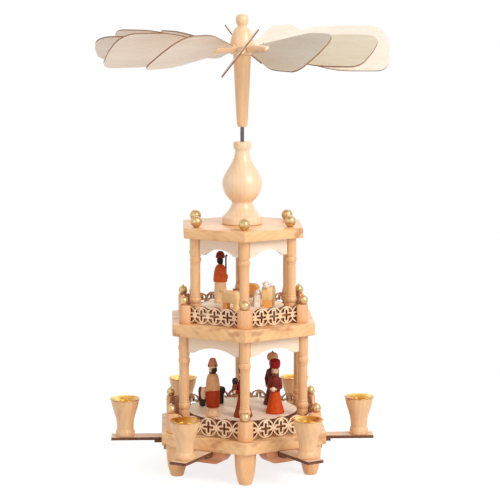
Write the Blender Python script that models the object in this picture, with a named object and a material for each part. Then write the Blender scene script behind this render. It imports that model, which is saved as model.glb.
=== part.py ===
"""Candle carousel: a two-storey hexagonal tower of turned wood, driven by a wheel of pitched blades.

Six candles stand on arms round the base. Their warm air turns the blade wheel, and with it one steel
axle that carries a disc of painted figures on each storey. Sizes are in metres, +Z is up, the floor is
at zero and the axle stands on the Z axis. One corner of the tower points along -Y.
"""

from dataclasses import dataclass
from math import acos, cos, pi, radians, sin, sqrt

import bmesh
import bpy
from mathutils import Matrix, Vector

# Counts and rounding steps
SIDES = 6
COLUMN_STEPS = 8
FOOT_STEPS = 8
CUP_STEPS = 8
DOME_STEPS = 16
HUB_STEPS = 16
DISC_STEPS = 24
BALL_STEPS = 8
FINIAL_STEPS = 6
POST_STEPS = 5
SCALLOP_STEPS = 2
ARCH_STEPS = 6
FIGURE_STEPS = 8
LIMB_STEPS = 6
LEG_STEPS = 4
CORNER_STEPS = 2
SMOOTH_ANGLE = radians(32)

# Clearances and joinery
FIT_GAP = 0.0003
RUNNING_GAP = 0.0006
BOND = 0.0005
OVERRUN = 0.002
WELD = 0.0000005

# Base plate, feet and the brackets that hold the candle arms
BASE_RADIUS = 0.0938
BASE_THICKNESS = 0.0119
FOOT_HEIGHT = 0.0319
FOOT_INSET = 0.0173
FOOT_TOP_RADIUS = 0.0107
BRACKET_INSET = 0.0092
BRACKET_DEPTH = 0.0150
BRACKET_HEIGHT = 0.0124
BRACKET_FOOT_GAP = 0.0050
BRACKET_BOTTOM_WIDTH = 0.0190
TONGUE_OVERHANG = 0.0075
TONGUE_THICKNESS = 0.0021

# Candle arm, its turned cup and the brass socket
ARM_WIDTH = 0.0176
ARM_THICKNESS = 0.0030
ARM_INSERT = 0.0212
ARM_END = 0.0140
CUP_OUTSET = 0.0368
CUP_RIM_RADIUS = 0.0143
CUP_HEIGHT = 0.0374
CUP_LIP = 0.0009
CANDLE_RADIUS = 0.0070
SOCKET_WALL = 0.0007
SOCKET_DEPTH = 0.0150
SOCKET_RIM_RADIUS = 0.0151
SOCKET_DISH_DEPTH = 0.0032

# Lower storey
LOWER_COLUMN_LENGTH = 0.0956
LOWER_COLUMN_INSET = 0.0262
LOWER_BLOCK_HEIGHT = 0.0206
LOWER_BULGE_HEIGHT = 0.0072
LOWER_POST_INSET = 0.0142
LOWER_RING_RADIUS = 0.00935
LOWER_RING_PITCH = 0.0177
LOWER_ARCH_DROP = 0.0165
LOWER_ARCH_CROWN = 0.0104
LOWER_DISC_LIFT = 0.0143

# Middle plate and upper storey
MIDDLE_OVERHANG = 0.0134
MIDDLE_THICKNESS = 0.0120
UPPER_COLUMN_LENGTH = 0.0833
UPPER_COLUMN_INSET = 0.0267
UPPER_BLOCK_HEIGHT = 0.0178
UPPER_BULGE_HEIGHT = 0.0060
UPPER_POST_INSET = 0.0162
UPPER_RING_RADIUS = 0.0087
UPPER_RING_PITCH = 0.0145
UPPER_ARCH_DROP = 0.0165
UPPER_ARCH_CROWN = 0.0100
UPPER_DISC_LIFT = 0.0124

# Turned columns
COLUMN_BLOCK_RADIUS = 0.0052
COLUMN_BULGE_RADIUS = 0.0057
COLUMN_SHAFT_RADIUS = 0.0046
COLUMN_GROOVE = 0.0008

# Arch boards, fence posts and fretwork
ARCH_THICKNESS = 0.0030
ARCH_FLAT = 0.0055
POST_RADIUS = 0.0076
POST_RISE = 0.0003
FRET_THICKNESS = 0.0030
FRET_INSET = 0.0025
FRET_END_CUT = 0.0009
FRET_LIFT = 0.0001
HOLE_LEAST = 0.0022
FINIAL_RADIUS = 0.0045
FINIAL_HEIGHT = 0.0112

# Roof plate, its balls and the onion dome
ROOF_OVERHANG = 0.0133
ROOF_THICKNESS = 0.0101
ROOF_BALL_RADIUS = 0.00565
ROOF_BALL_INSET = 0.0143
DOME_RADIUS = 0.0201
DOME_HEIGHT = 0.0821

# Axle, its bearing and the collars that hold the discs
AXLE_RADIUS = 0.0019
AXLE_TIP_LENGTH = 0.0030
AXLE_TIP_RADIUS = 0.0006
BEARING_RADIUS = 0.0060
BEARING_HEIGHT = 0.0050
BEARING_PIT_DEPTH = 0.0034
DISC_THICKNESS = 0.0030
DISC_CLEARANCE = 0.0070
COLLAR_RADIUS = 0.0060
COLLAR_HEIGHT = 0.0040

# Sleeve, hub and blade wheel
SLEEVE_BOTTOM = 0.3428
SLEEVE_HEIGHT = 0.0712
SLEEVE_TOP_RADIUS = 0.00885
SLEEVE_BORE_DEPTH = 0.0490
HUB_RADIUS = 0.0123
HUB_HEIGHT = 0.0399
PEG_LEVEL = 0.0060
PEG_TENON_RADIUS = 0.0010
PEG_TENON_DEPTH = 0.0045
PEG_NECK_RADIUS = 0.0022
PEG_RADIUS = 0.0036
PEG_NECK_LENGTH = 0.0045
PEG_LENGTH = 0.0185
PEG_ROUNDING = 0.0022
BLADE_ROOT = 0.0262
BLADE_TIP = 0.1450
BLADE_SHOULDER = 0.0940
BLADE_ROOT_WIDTH = 0.0120
BLADE_WIDTH = 0.0550
BLADE_THICKNESS = 0.0013
BLADE_UPPER_CORNER = 0.0190
BLADE_LOWER_CORNER = 0.0120
BLADE_TIP_BULGE = 0.0012
WHEEL_TURN = radians(-3)

# Degrees of pitch to which the peg of each blade is turned, from the front blade onwards
BLADE_PITCHES = (52, 38, 31, 51, 44, 46, 46, 31, 37, 26, 38, 35)
BLADES = len(BLADE_PITCHES)

# Painted figures and animals
KING_HEIGHT = 0.0587
BEARER_HEIGHT = 0.0550
SHEPHERD_HEIGHT = 0.0520
ARM_SLEEVE_RADIUS = 0.0019
GIFT_RADIUS = 0.0027
JAR_HEIGHT = 0.0105
CROOK_RADIUS = 0.0008
SHEEP_LENGTH = 0.0190
CAMEL_LENGTH = 0.0280

# Places that follow from the base plate outwards and upwards
BASE_APOTHEM = BASE_RADIUS * cos(pi / SIDES)
FOOT_CIRCLE = BASE_RADIUS - FOOT_INSET
BRACKET_CIRCLE = BASE_APOTHEM - BRACKET_INSET
BRACKET_TOP_WIDTH = 2 * (FOOT_CIRCLE * sin(pi / SIDES) - FOOT_TOP_RADIUS - BRACKET_FOOT_GAP)
TONGUE_REACH = BASE_APOTHEM + TONGUE_OVERHANG
ARM_ROOT = BASE_APOTHEM - ARM_INSERT
CUP_CIRCLE = BASE_APOTHEM + CUP_OUTSET
ARM_REACH = CUP_CIRCLE + ARM_END
LOWER_POST_CIRCLE = BASE_RADIUS - LOWER_POST_INSET
LOWER_COLUMN_CIRCLE = BASE_RADIUS - LOWER_COLUMN_INSET
LOWER_DISC_RADIUS = LOWER_COLUMN_CIRCLE - COLUMN_BULGE_RADIUS - DISC_CLEARANCE
MIDDLE_RADIUS = LOWER_COLUMN_CIRCLE + MIDDLE_OVERHANG
UPPER_POST_CIRCLE = MIDDLE_RADIUS - UPPER_POST_INSET
UPPER_COLUMN_CIRCLE = MIDDLE_RADIUS - UPPER_COLUMN_INSET
UPPER_DISC_RADIUS = UPPER_COLUMN_CIRCLE - COLUMN_BULGE_RADIUS - DISC_CLEARANCE
ROOF_RADIUS = UPPER_COLUMN_CIRCLE + ROOF_OVERHANG
ROOF_BALL_CIRCLE = ROOF_RADIUS - ROOF_BALL_INSET

# Heights that follow from the stack
BASE_BOTTOM = FOOT_HEIGHT + FIT_GAP
BASE_TOP = BASE_BOTTOM + BASE_THICKNESS
MIDDLE_BOTTOM = BASE_TOP + LOWER_COLUMN_LENGTH + 2 * FIT_GAP
MIDDLE_TOP = MIDDLE_BOTTOM + MIDDLE_THICKNESS
ROOF_BOTTOM = MIDDLE_TOP + UPPER_COLUMN_LENGTH + 2 * FIT_GAP
ROOF_TOP = ROOF_BOTTOM + ROOF_THICKNESS
HUB_BOTTOM = SLEEVE_BOTTOM + SLEEVE_HEIGHT + FIT_GAP
ARM_TOP = BASE_BOTTOM - FIT_GAP
ARM_BOTTOM = ARM_TOP - ARM_THICKNESS
AXLE_TIP = BASE_TOP + FIT_GAP + BEARING_HEIGHT - BEARING_PIT_DEPTH + FIT_GAP
AXLE_TOP = SLEEVE_BOTTOM + SLEEVE_BORE_DEPTH - FIT_GAP

# Turned outlines: (share of the widest radius, share of the height), from the bottom up
FOOT_SHARES = ((0.52, 0.0), (0.61, 0.035), (0.83, 0.30), (0.95, 0.62), (1.0, 1.0))
CUP_SHARES = ((0.62, 0.0), (0.66, 0.06), (0.57, 0.20), (0.61, 0.39), (0.75, 0.60), (0.92, 0.81),
              (1.0, 1.0))
DOME_SHARES = ((1.0, 0.0), (1.0, 0.088), (0.93, 0.10), (0.72, 0.155), (0.56, 0.215), (0.52, 0.252),
               (0.63, 0.295), (0.85, 0.37), (0.96, 0.435), (0.98, 0.50), (0.92, 0.57), (0.75, 0.65),
               (0.53, 0.73), (0.39, 0.81), (0.345, 0.90), (0.435, 0.912), (0.435, 1.0))
SLEEVE_SHARES = ((0.42, 0.0), (0.58, 0.03), (0.65, 0.13), (0.80, 0.48), (1.0, 1.0))
HUB_SHARES = ((0.94, 0.0), (1.0, 0.035), (1.0, 0.12), (0.96, 0.29), (0.88, 0.42), (0.74, 0.57),
              (0.54, 0.66), (0.41, 0.71), (0.49, 0.78), (0.52, 0.84), (0.46, 0.92), (0.28, 0.98))
FINIAL_SHARES = ((0.72, 0.0), (1.0, 0.38), (0.24, 0.80))

# Fretwork shares of one ring's outer radius
CROSS_REACH_SHARE = 0.56
CROSS_HALF_WIDTH_SHARE = 0.12

# Figure outlines: (radius, height), both as shares of the figure's height
KING_SHARES = ((0.119, 0.0), (0.103, 0.15), (0.114, 0.165), (0.121, 0.455), (0.107, 0.60), (0.088, 0.695),
               (0.044, 0.735), (0.066, 0.775), (0.068, 0.84), (0.090, 0.87), (0.072, 0.925), (0.045, 0.985))
BEARER_SHARES = ((0.170, 0.0), (0.128, 0.18), (0.088, 0.40), (0.102, 0.52), (0.092, 0.61),
                 (0.050, 0.69), (0.070, 0.74), (0.072, 0.82))
TURBAN_SHARES = ((0.098, 0.845), (0.104, 0.89), (0.080, 0.945), (0.030, 0.97))
CAP_SHARES = ((0.086, 0.83), (0.092, 0.90), (0.078, 0.965), (0.045, 0.993))
HOOD_SHARES = ((0.090, 0.83), (0.092, 0.88), (0.068, 0.95), (0.030, 0.99))
SHEPHERD_SHARES = ((0.122, 0.0), (0.112, 0.41), (0.134, 0.425), (0.125, 0.55), (0.090, 0.70),
                   (0.048, 0.735), (0.062, 0.775), (0.064, 0.865), (0.090, 0.905), (0.058, 0.99))

# Side views of the animals, carved from one slice of wood: (along, up), both as shares of their length
SHEEP_SHARES = ((-0.44, 0.0), (-0.24, 0.0), (-0.22, 0.30), (0.14, 0.30), (0.16, 0.0), (0.35, 0.0),
                (0.37, 0.50), (0.55, 0.60), (0.55, 0.76), (0.40, 0.95), (0.22, 0.93), (0.10, 0.74),
                (-0.34, 0.76), (-0.48, 0.58))
SHEEP_WIDTH_SHARE = 0.42
CAMEL_SHARES = ((-0.42, 0.0), (-0.28, 0.0), (-0.22, 0.36), (0.14, 0.36), (0.18, 0.0), (0.32, 0.0),
                (0.36, 0.44), (0.58, 0.64), (0.54, 0.76), (0.38, 0.76), (0.22, 0.60), (-0.06, 0.74),
                (-0.36, 0.62), (-0.46, 0.42))
CAMEL_WIDTH_SHARE = 0.26

# The jar that a figure carries: (share of the gift's radius, share of the jar's height)
JAR_SHARES = ((0.70, 0.0), (1.0, 0.30), (0.85, 0.62), (0.90, 0.72), (0.45, 0.94))
JAR_HOLD_SHARE = 0.45

# Arms of the figures, as shares of the figure's height
SHOULDER_WIDTH_SHARE = 0.095
SHOULDER_LEVEL_SHARE = 0.62
SHEPHERD_HANDS_SHARE = 0.05
HAND_REACH_SHARE = 0.14
HAND_LEVEL_SHARE = 0.45
CROOK_LEVEL_SHARE = 0.97

# Places on the discs: (share of the disc radius, degrees from the tower's front corner to the right,
# degrees that the figure is turned out of the line of march)
KING_PLACE_SHARES = (0.80, -44.0, 34.0)
BEARER_PLACES_SHARES = ((0.66, -1.0, 0.0), (0.67, 57.0, 17.0), (0.66, 124.0, -57.0))
CAMEL_PLACE_SHARES = (0.68, -121.0, -27.0)
SHEPHERD_PLACE_SHARES = (0.64, -126.0, 0.0)
SHEEP_PLACES_SHARES = ((0.72, -30.0, 0.0), (0.66, 62.0, 0.0), (0.70, 108.0, 0.0), (0.60, 160.0, 0.0))


@dataclass(frozen=True)
class Storey:
    """One storey: the sizes of its columns, fence, arches and disc, and the height of its floor."""

    name: str
    floor: float
    column_length: float
    column_circle: float
    block_height: float
    bulge_height: float
    post_circle: float
    ring_radius: float
    ring_pitch: float
    arch_drop: float
    arch_crown: float
    disc_radius: float
    disc_lift: float


LOWER = Storey("lower", BASE_TOP, LOWER_COLUMN_LENGTH, LOWER_COLUMN_CIRCLE, LOWER_BLOCK_HEIGHT,
               LOWER_BULGE_HEIGHT, LOWER_POST_CIRCLE, LOWER_RING_RADIUS, LOWER_RING_PITCH,
               LOWER_ARCH_DROP, LOWER_ARCH_CROWN, LOWER_DISC_RADIUS, LOWER_DISC_LIFT)
UPPER = Storey("upper", MIDDLE_TOP, UPPER_COLUMN_LENGTH, UPPER_COLUMN_CIRCLE, UPPER_BLOCK_HEIGHT,
               UPPER_BULGE_HEIGHT, UPPER_POST_CIRCLE, UPPER_RING_RADIUS, UPPER_RING_PITCH,
               UPPER_ARCH_DROP, UPPER_ARCH_CROWN, UPPER_DISC_RADIUS, UPPER_DISC_LIFT)


def clear_scene():
    """Removes whatever the file held before."""
    for thing in list(bpy.data.objects):
        bpy.data.objects.remove(thing, do_unlink=True)


def make_finish(name, colour, roughness, metallic=0.0):
    """Returns a plain Principled material."""
    finish = bpy.data.materials.new(name)
    finish.use_nodes = True
    shader = finish.node_tree.nodes["Principled BSDF"]
    shader.inputs["Base Color"].default_value = (*colour, 1.0)
    shader.inputs["Roughness"].default_value = roughness
    shader.inputs["Metallic"].default_value = metallic
    finish.diffuse_color = (*colour, 1.0)
    return finish


def corner_angle(index):
    """Angle of a tower corner about the axle. Corner 0 is the front one."""
    return -pi / 2 + index * 2 * pi / SIDES


def side_angle(index):
    """Angle of the middle of the side that follows corner index."""
    return corner_angle(index + 0.5)


def polar(radius, angle, height):
    """Point at a radius and an angle about the axle."""
    return Vector((radius * cos(angle), radius * sin(angle), height))


def finish_mesh(bm, name):
    """Closes a bmesh into a mesh with its faces pointing out and its round parts smooth."""
    bmesh.ops.remove_doubles(bm, verts=bm.verts, dist=WELD)
    bmesh.ops.recalc_face_normals(bm, faces=bm.faces)
    mesh = bpy.data.meshes.new(name)
    bm.to_mesh(mesh)
    bm.free()
    mesh.shade_smooth()
    mesh.set_sharp_from_angle(angle=SMOOTH_ANGLE)
    return mesh


def turned(name, profile, steps):
    """Turns a profile of (radius, height) points about Z. One that leaves the axis open is a ring."""
    bm = bmesh.new()
    points = [bm.verts.new((radius, 0.0, height)) for radius, height in profile]
    pairs = list(zip(points, points[1:]))
    if profile[0][0] > 0 or profile[-1][0] > 0:
        pairs.append((points[-1], points[0]))
    edges = [bm.edges.new(pair) for pair in pairs]
    bmesh.ops.spin(bm, geom=points + edges, cent=(0, 0, 0), axis=(0, 0, 1), angle=2 * pi, steps=steps,
                   use_merge=True)
    return finish_mesh(bm, name)


def solid_profile(shares, radius, height):
    """Profile of a solid turned piece from its shares, closed on the axis at both ends."""
    outline = [(radius * across, height * up) for across, up in shares]
    return [(0.0, outline[0][1])] + outline + [(0.0, height)]


def extruded(name, loops, thickness):
    """Fills a flat outline with its holes in XY and extrudes it along +Z."""
    bm = bmesh.new()
    edges = []
    for loop in loops:
        points = [bm.verts.new((x, y, 0.0)) for x, y in loop]
        edges += [bm.edges.new(pair) for pair in zip(points, points[1:] + points[:1])]
    bmesh.ops.triangle_fill(bm, use_beauty=True, use_dissolve=False, edges=edges)
    body = bmesh.ops.extrude_face_region(bm, geom=bm.faces[:])
    top = [item for item in body["geom"] if isinstance(item, bmesh.types.BMVert)]
    bmesh.ops.translate(bm, verts=top, vec=(0.0, 0.0, thickness))
    return finish_mesh(bm, name)


def prism(name, outline, thickness):
    """Extrudes a plain outline along +Z, with one face at each end."""
    bm = bmesh.new()
    face = bm.faces.new([bm.verts.new((x, y, 0.0)) for x, y in outline])
    body = bmesh.ops.extrude_face_region(bm, geom=[face])
    top = [item for item in body["geom"] if isinstance(item, bmesh.types.BMVert)]
    bmesh.ops.translate(bm, verts=top, vec=(0.0, 0.0, thickness))
    return finish_mesh(bm, name)


def block(name, low, high):
    """A rectangular block between two corners."""
    outline = ((low[0], low[1]), (high[0], low[1]), (high[0], high[1]), (low[0], high[1]))
    return placed(prism(name, outline, high[2] - low[2]), Matrix.Translation((0.0, 0.0, low[2])))


def rod(name, start, end, start_radius, end_radius, steps=LIMB_STEPS):
    """A straight tapered rod between two points."""
    start = Vector(start)
    line = Vector(end) - start
    shape = turned(name, ((0.0, 0.0), (start_radius, 0.0), (end_radius, line.length), (0.0, line.length)),
                   steps)
    return placed(shape, Matrix.Translation(start) @ line.to_track_quat("Z", "Y").to_matrix().to_4x4())


def ball(name, centre, radii, steps=BALL_STEPS):
    """An egg or ball with a radius along each axis."""
    bm = bmesh.new()
    bmesh.ops.create_uvsphere(bm, u_segments=steps, v_segments=steps // 2, radius=1.0)
    bmesh.ops.scale(bm, verts=bm.verts, vec=radii)
    bmesh.ops.translate(bm, verts=bm.verts, vec=centre)
    return finish_mesh(bm, name)


def placed(mesh, matrix):
    """Moves a mesh's own points and gives it back."""
    mesh.transform(matrix)
    return mesh


def copy_at(mesh, matrix):
    """A moved copy of a mesh."""
    return placed(mesh.copy(), matrix)


def combined(operation, target, tools):
    """Applies one exact boolean of the target mesh and all the tool meshes together."""
    scene = bpy.context.scene
    workshop = bpy.data.collections.new("workshop")
    scene.collection.children.link(workshop)
    body = bpy.data.objects.new("workpiece", target)
    scene.collection.objects.link(body)
    helpers = [bpy.data.objects.new("tool", mesh) for mesh in tools]
    for helper in helpers:
        workshop.objects.link(helper)
    step = body.modifiers.new("boolean", "BOOLEAN")
    step.operation = operation
    step.solver = "EXACT"
    step.operand_type = "COLLECTION"
    step.collection = workshop
    graph = bpy.context.evaluated_depsgraph_get()
    bm = bmesh.new()
    bm.from_mesh(body.evaluated_get(graph).to_mesh())
    for thing in [body, *helpers]:
        bpy.data.objects.remove(thing, do_unlink=True)
    bpy.data.collections.remove(workshop)
    return finish_mesh(bm, target.name)


def add_piece(name, mesh, finish, location=(0.0, 0.0, 0.0), rotation=(0.0, 0.0, 0.0), parent=None):
    """Puts one named piece in the scene."""
    if not mesh.materials:
        mesh.materials.append(finish)
    piece = bpy.data.objects.new(name, mesh)
    piece.location = location
    piece.rotation_euler = rotation
    piece.parent = parent
    bpy.context.scene.collection.objects.link(piece)
    return piece


def hexagon(radius):
    """Outline of a plate with a corner to the front."""
    return [polar(radius, corner_angle(index), 0.0).to_2d() for index in range(SIDES)]


def side_frame(index, radius, height):
    """Frame of one side: X runs along the side, Y up and Z outwards."""
    angle = side_angle(index)
    axes = Matrix(((-sin(angle), 0.0, cos(angle)), (cos(angle), 0.0, sin(angle)), (0.0, 1.0, 0.0)))
    return Matrix.Translation(polar(radius, angle, height)) @ axes.to_4x4()


def plate_blank(name, radius, thickness, bottom):
    """A hexagonal plate with its bottom face at a height."""
    return placed(prism(name, hexagon(radius), thickness), Matrix.Translation((0.0, 0.0, bottom)))


def axle_hole(bottom, top):
    """Cutter for the running hole of the axle."""
    radius = AXLE_RADIUS + RUNNING_GAP
    low, high = bottom - OVERRUN, top + OVERRUN
    return turned("axle_hole", ((0.0, low), (radius, low), (radius, high), (0.0, high)), COLUMN_STEPS)


def bracket_blank():
    """Bracket under the base plate, notched for one arm. X is along the side, Y up, Z outwards."""
    half_top = BRACKET_TOP_WIDTH / 2
    half_bottom = BRACKET_BOTTOM_WIDTH / 2
    half_slot = ARM_WIDTH / 2 + FIT_GAP
    slot_floor = -2 * FIT_GAP - ARM_THICKNESS
    flank = []
    for step in range(CORNER_STEPS + 1):
        turn = pi / 2 * step / CORNER_STEPS
        across = half_bottom + (half_top - half_bottom) * cos(turn)
        flank.append((across, -BRACKET_HEIGHT * sin(turn)))
    right = [(half_slot, slot_floor), (half_slot, BOND), (half_top, BOND)] + flank
    outline = right + [(-across, up) for across, up in reversed(right)]
    bracket = prism("bracket", outline, BRACKET_DEPTH)
    return placed(bracket, Matrix.Translation((0.0, 0.0, -BRACKET_DEPTH / 2)))


def build_base_plate(finish):
    """Base plate with its six brackets, each with a tongue that carries the root of an arm."""
    bracket = bracket_blank()
    half_width = ARM_WIDTH / 2
    tongue_top = -2 * FIT_GAP - ARM_THICKNESS
    tongue = block("tongue", (-half_width, tongue_top - TONGUE_THICKNESS, -BRACKET_DEPTH / 4),
                   (half_width, tongue_top, TONGUE_REACH - BRACKET_CIRCLE))
    tools = []
    for index in range(SIDES):
        frame = side_frame(index, BRACKET_CIRCLE, BASE_BOTTOM)
        tools.append(copy_at(bracket, frame))
        tools.append(copy_at(tongue, frame))
    plate = combined("UNION", plate_blank("base_plate", BASE_RADIUS, BASE_THICKNESS, BASE_BOTTOM), tools)
    add_piece("base_plate", plate, finish)


def build_feet(finish):
    """Six turned feet under the corners of the base plate."""
    foot = turned("foot", solid_profile(FOOT_SHARES, FOOT_TOP_RADIUS, FOOT_HEIGHT), FOOT_STEPS)
    for index in range(SIDES):
        add_piece(f"foot_{index + 1}", foot, finish, polar(FOOT_CIRCLE, corner_angle(index), 0.0))


def socket_profile():
    """Half section of the brass socket, with its rim's underside at zero height."""
    tube = CANDLE_RADIUS + SOCKET_WALL
    floor = -SOCKET_DISH_DEPTH - SOCKET_DEPTH
    return ((0.0, floor - SOCKET_WALL), (tube, floor - SOCKET_WALL), (tube, -SOCKET_DISH_DEPTH),
            (CUP_RIM_RADIUS - CUP_LIP, 0.0), (SOCKET_RIM_RADIUS, 0.0), (SOCKET_RIM_RADIUS, SOCKET_WALL),
            (CANDLE_RADIUS, SOCKET_WALL - SOCKET_DISH_DEPTH), (CANDLE_RADIUS, floor), (0.0, floor))


def cup_recess():
    """Cutter for the seat of the brass socket, on the cup's axis with the rim at zero height."""
    tube = CANDLE_RADIUS + SOCKET_WALL + FIT_GAP
    floor = -SOCKET_DISH_DEPTH - SOCKET_DEPTH - SOCKET_WALL - 2 * FIT_GAP
    slope = SOCKET_DISH_DEPTH / (CUP_RIM_RADIUS - CUP_LIP - CANDLE_RADIUS - SOCKET_WALL)
    mouth = CUP_RIM_RADIUS - CUP_LIP
    return turned("recess", ((0.0, floor), (tube, floor), (tube, -SOCKET_DISH_DEPTH - FIT_GAP),
                             (mouth, 0.0), (mouth + OVERRUN / slope, OVERRUN), (0.0, OVERRUN)), CUP_STEPS)


def build_candle_arms(wood, brass):
    """Six flat arms with their turned cups, and the brass sockets that stand in the cups."""
    half_width = ARM_WIDTH / 2
    arm = block("candle_arm", (ARM_ROOT, -half_width, ARM_BOTTOM), (ARM_REACH, half_width, ARM_TOP))
    rim = ARM_TOP + CUP_HEIGHT
    height = CUP_HEIGHT + BOND
    cup = turned("cup", solid_profile(CUP_SHARES, CUP_RIM_RADIUS, height), CUP_STEPS)
    cup = combined("DIFFERENCE", cup, [placed(cup_recess(), Matrix.Translation((0.0, 0.0, height)))])
    placed(cup, Matrix.Translation((CUP_CIRCLE, 0.0, ARM_TOP - BOND)))
    arm = combined("UNION", arm, [cup])
    socket = turned("candle_socket", socket_profile(), CUP_STEPS)
    for index in range(SIDES):
        angle = side_angle(index)
        add_piece(f"candle_arm_{index + 1}", arm, wood, rotation=(0.0, 0.0, angle))
        add_piece(f"candle_socket_{index + 1}", socket, brass, polar(CUP_CIRCLE, angle, rim + FIT_GAP),
                  (0.0, 0.0, angle))


def column_profile(storey):
    """Half section of a turned column: a block, a groove and a bulge at each end of the shaft."""
    length = storey.column_length
    block_top = storey.block_height
    neck = block_top + COLUMN_GROOVE
    shaft = neck + storey.bulge_height
    lower = ((COLUMN_BLOCK_RADIUS, 0.0), (COLUMN_BLOCK_RADIUS, block_top), (COLUMN_SHAFT_RADIUS, neck),
             (COLUMN_BULGE_RADIUS, (neck + shaft) / 2), (COLUMN_SHAFT_RADIUS, shaft))
    upper = tuple((radius, length - height) for radius, height in reversed(lower))
    return ((0.0, 0.0), *lower, *upper, (0.0, length))


def build_columns(storey, finish):
    """Six turned columns of one storey, standing on its floor plate at the corners."""
    column = turned(f"{storey.name}_column", column_profile(storey), COLUMN_STEPS)
    for index in range(SIDES):
        place = polar(storey.column_circle, corner_angle(index), storey.floor + FIT_GAP)
        add_piece(f"{storey.name}_column_{index + 1}", column, finish, place)


def arch_board(storey):
    """Arch board between two columns. X is along the side, Y up from the plate above, Z outwards."""
    half_length = storey.column_circle * sin(pi / SIDES) - COLUMN_BLOCK_RADIUS - FIT_GAP
    half_arch = half_length - ARCH_FLAT
    rise = storey.arch_drop - storey.arch_crown
    radius = (half_arch ** 2 + rise ** 2) / (2 * rise)
    centre = -storey.arch_crown - radius
    outline = [(half_length, -storey.arch_drop), (half_length, BOND), (-half_length, BOND),
               (-half_length, -storey.arch_drop)]
    spread = pi / 2 - acos(half_arch / radius)
    for step in range(ARCH_STEPS + 1):
        turn = -spread + 2 * spread * step / ARCH_STEPS
        outline.append((radius * sin(turn), centre + radius * cos(turn)))
    board = prism("arch_board", outline, ARCH_THICKNESS)
    return placed(board, Matrix.Translation((0.0, 0.0, -ARCH_THICKNESS / 2)))


def arch_ring(storey, height):
    """The six arch boards of one storey, in their places under the plate above."""
    board = arch_board(storey)
    radius = storey.column_circle * cos(pi / SIDES)
    return [copy_at(board, side_frame(index, radius, height)) for index in range(SIDES)]


def build_middle_plate(finish):
    """Middle plate, with the lower storey's arch boards glued under it."""
    plate = plate_blank("middle_plate", MIDDLE_RADIUS, MIDDLE_THICKNESS, MIDDLE_BOTTOM)
    plate = combined("UNION", plate, arch_ring(LOWER, MIDDLE_BOTTOM))
    plate = combined("DIFFERENCE", plate, [axle_hole(MIDDLE_BOTTOM, MIDDLE_TOP)])
    add_piece("middle_plate", plate, finish)


def build_roof_plate(finish):
    """Roof plate, with the upper storey's arch boards under it and a ball on each corner."""
    plate = plate_blank("roof_plate", ROOF_RADIUS, ROOF_THICKNESS, ROOF_BOTTOM)
    radii = (ROOF_BALL_RADIUS, ROOF_BALL_RADIUS, ROOF_BALL_RADIUS)
    height = ROOF_TOP + ROOF_BALL_RADIUS - BOND
    balls = [ball("roof_ball", polar(ROOF_BALL_CIRCLE, corner_angle(index), height), radii)
             for index in range(SIDES)]
    plate = combined("UNION", plate, arch_ring(UPPER, ROOF_BOTTOM) + balls)
    plate = combined("DIFFERENCE", plate, [axle_hole(ROOF_BOTTOM, ROOF_TOP)])
    add_piece("roof_plate", plate, finish)


def scallop_height(along, radius, pitch, phase):
    """Half height of the ring chain at a place along it."""
    offset = (along - phase) / pitch
    offset = (offset - round(offset)) * pitch
    return sqrt(radius ** 2 - offset ** 2)


def ring_centres(half_length, radius, pitch, phase):
    """Centres of the rings that reach into a panel."""
    first = int((-half_length - radius - phase) // pitch) + 1
    last = int((half_length + radius - phase) // pitch)
    return [phase + index * pitch for index in range(first, last + 1)]


def cross_hole(centre, radius):
    """The cross sawn out of one ring."""
    reach = radius * CROSS_REACH_SHARE
    half = radius * CROSS_HALF_WIDTH_SHARE
    arm = ((half, half), (half, reach), (-half, reach))
    cross = []
    for quarter in range(4):
        turn = Matrix.Rotation(quarter * pi / 2, 2)
        cross += [turn @ Vector(point) for point in arm]
    return [(point.x + centre, point.y + radius) for point in cross]


def clipped(hole, limit):
    """The part of a hole between the posts, which stand at plus and minus the limit."""
    for side in (-1, 1):
        kept = []
        for start, end in zip(hole, hole[1:] + hole[:1]):
            start_in, end_in = side * start[0] <= limit, side * end[0] <= limit
            if start_in:
                kept.append(start)
            if start_in != end_in:
                share = (side * limit - start[0]) / (end[0] - start[0])
                kept.append((side * limit, start[1] + share * (end[1] - start[1])))
        hole = kept
    return hole


def fret_panel(storey, half_length, visible_half, phase):
    """Fretwork panel of one side: a chain of rings, cut off square at its ends behind the posts."""
    radius, pitch = storey.ring_radius, storey.ring_pitch
    cusp = acos(pitch / (2 * radius))
    stations = [-half_length]
    centres = ring_centres(half_length, radius, pitch, phase)
    for centre in centres:
        for step in range(SCALLOP_STEPS + 1):
            turn = cusp + (pi - 2 * cusp) * (1 - step / SCALLOP_STEPS)
            along = centre + radius * cos(turn)
            if stations[-1] + WELD < along < half_length - WELD:
                stations.append(along)
    stations.append(half_length)
    heights = [scallop_height(along, radius, pitch, phase) for along in stations]
    lower = [(along, radius - height) for along, height in zip(stations, heights)]
    upper = [(along, radius + height) for along, height in zip(stations, heights)]
    loops = [lower + upper[::-1]]
    for centre in centres:
        hole = clipped(cross_hole(centre, radius), visible_half)
        if hole and max(hole)[0] - min(hole)[0] > HOLE_LEAST:
            loops.append(hole)
    panel = extruded("fret_panel", loops, FRET_THICKNESS)
    return placed(panel, Matrix.Translation((0.0, 0.0, -FRET_THICKNESS)))


def post_outline():
    """Half-round section of a post, with its flat face at zero and its round side along +X."""
    turns = [-pi / 2 + pi * step / POST_STEPS for step in range(POST_STEPS + 1)]
    return [(POST_RADIUS * cos(turn), POST_RADIUS * sin(turn)) for turn in turns]


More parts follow.
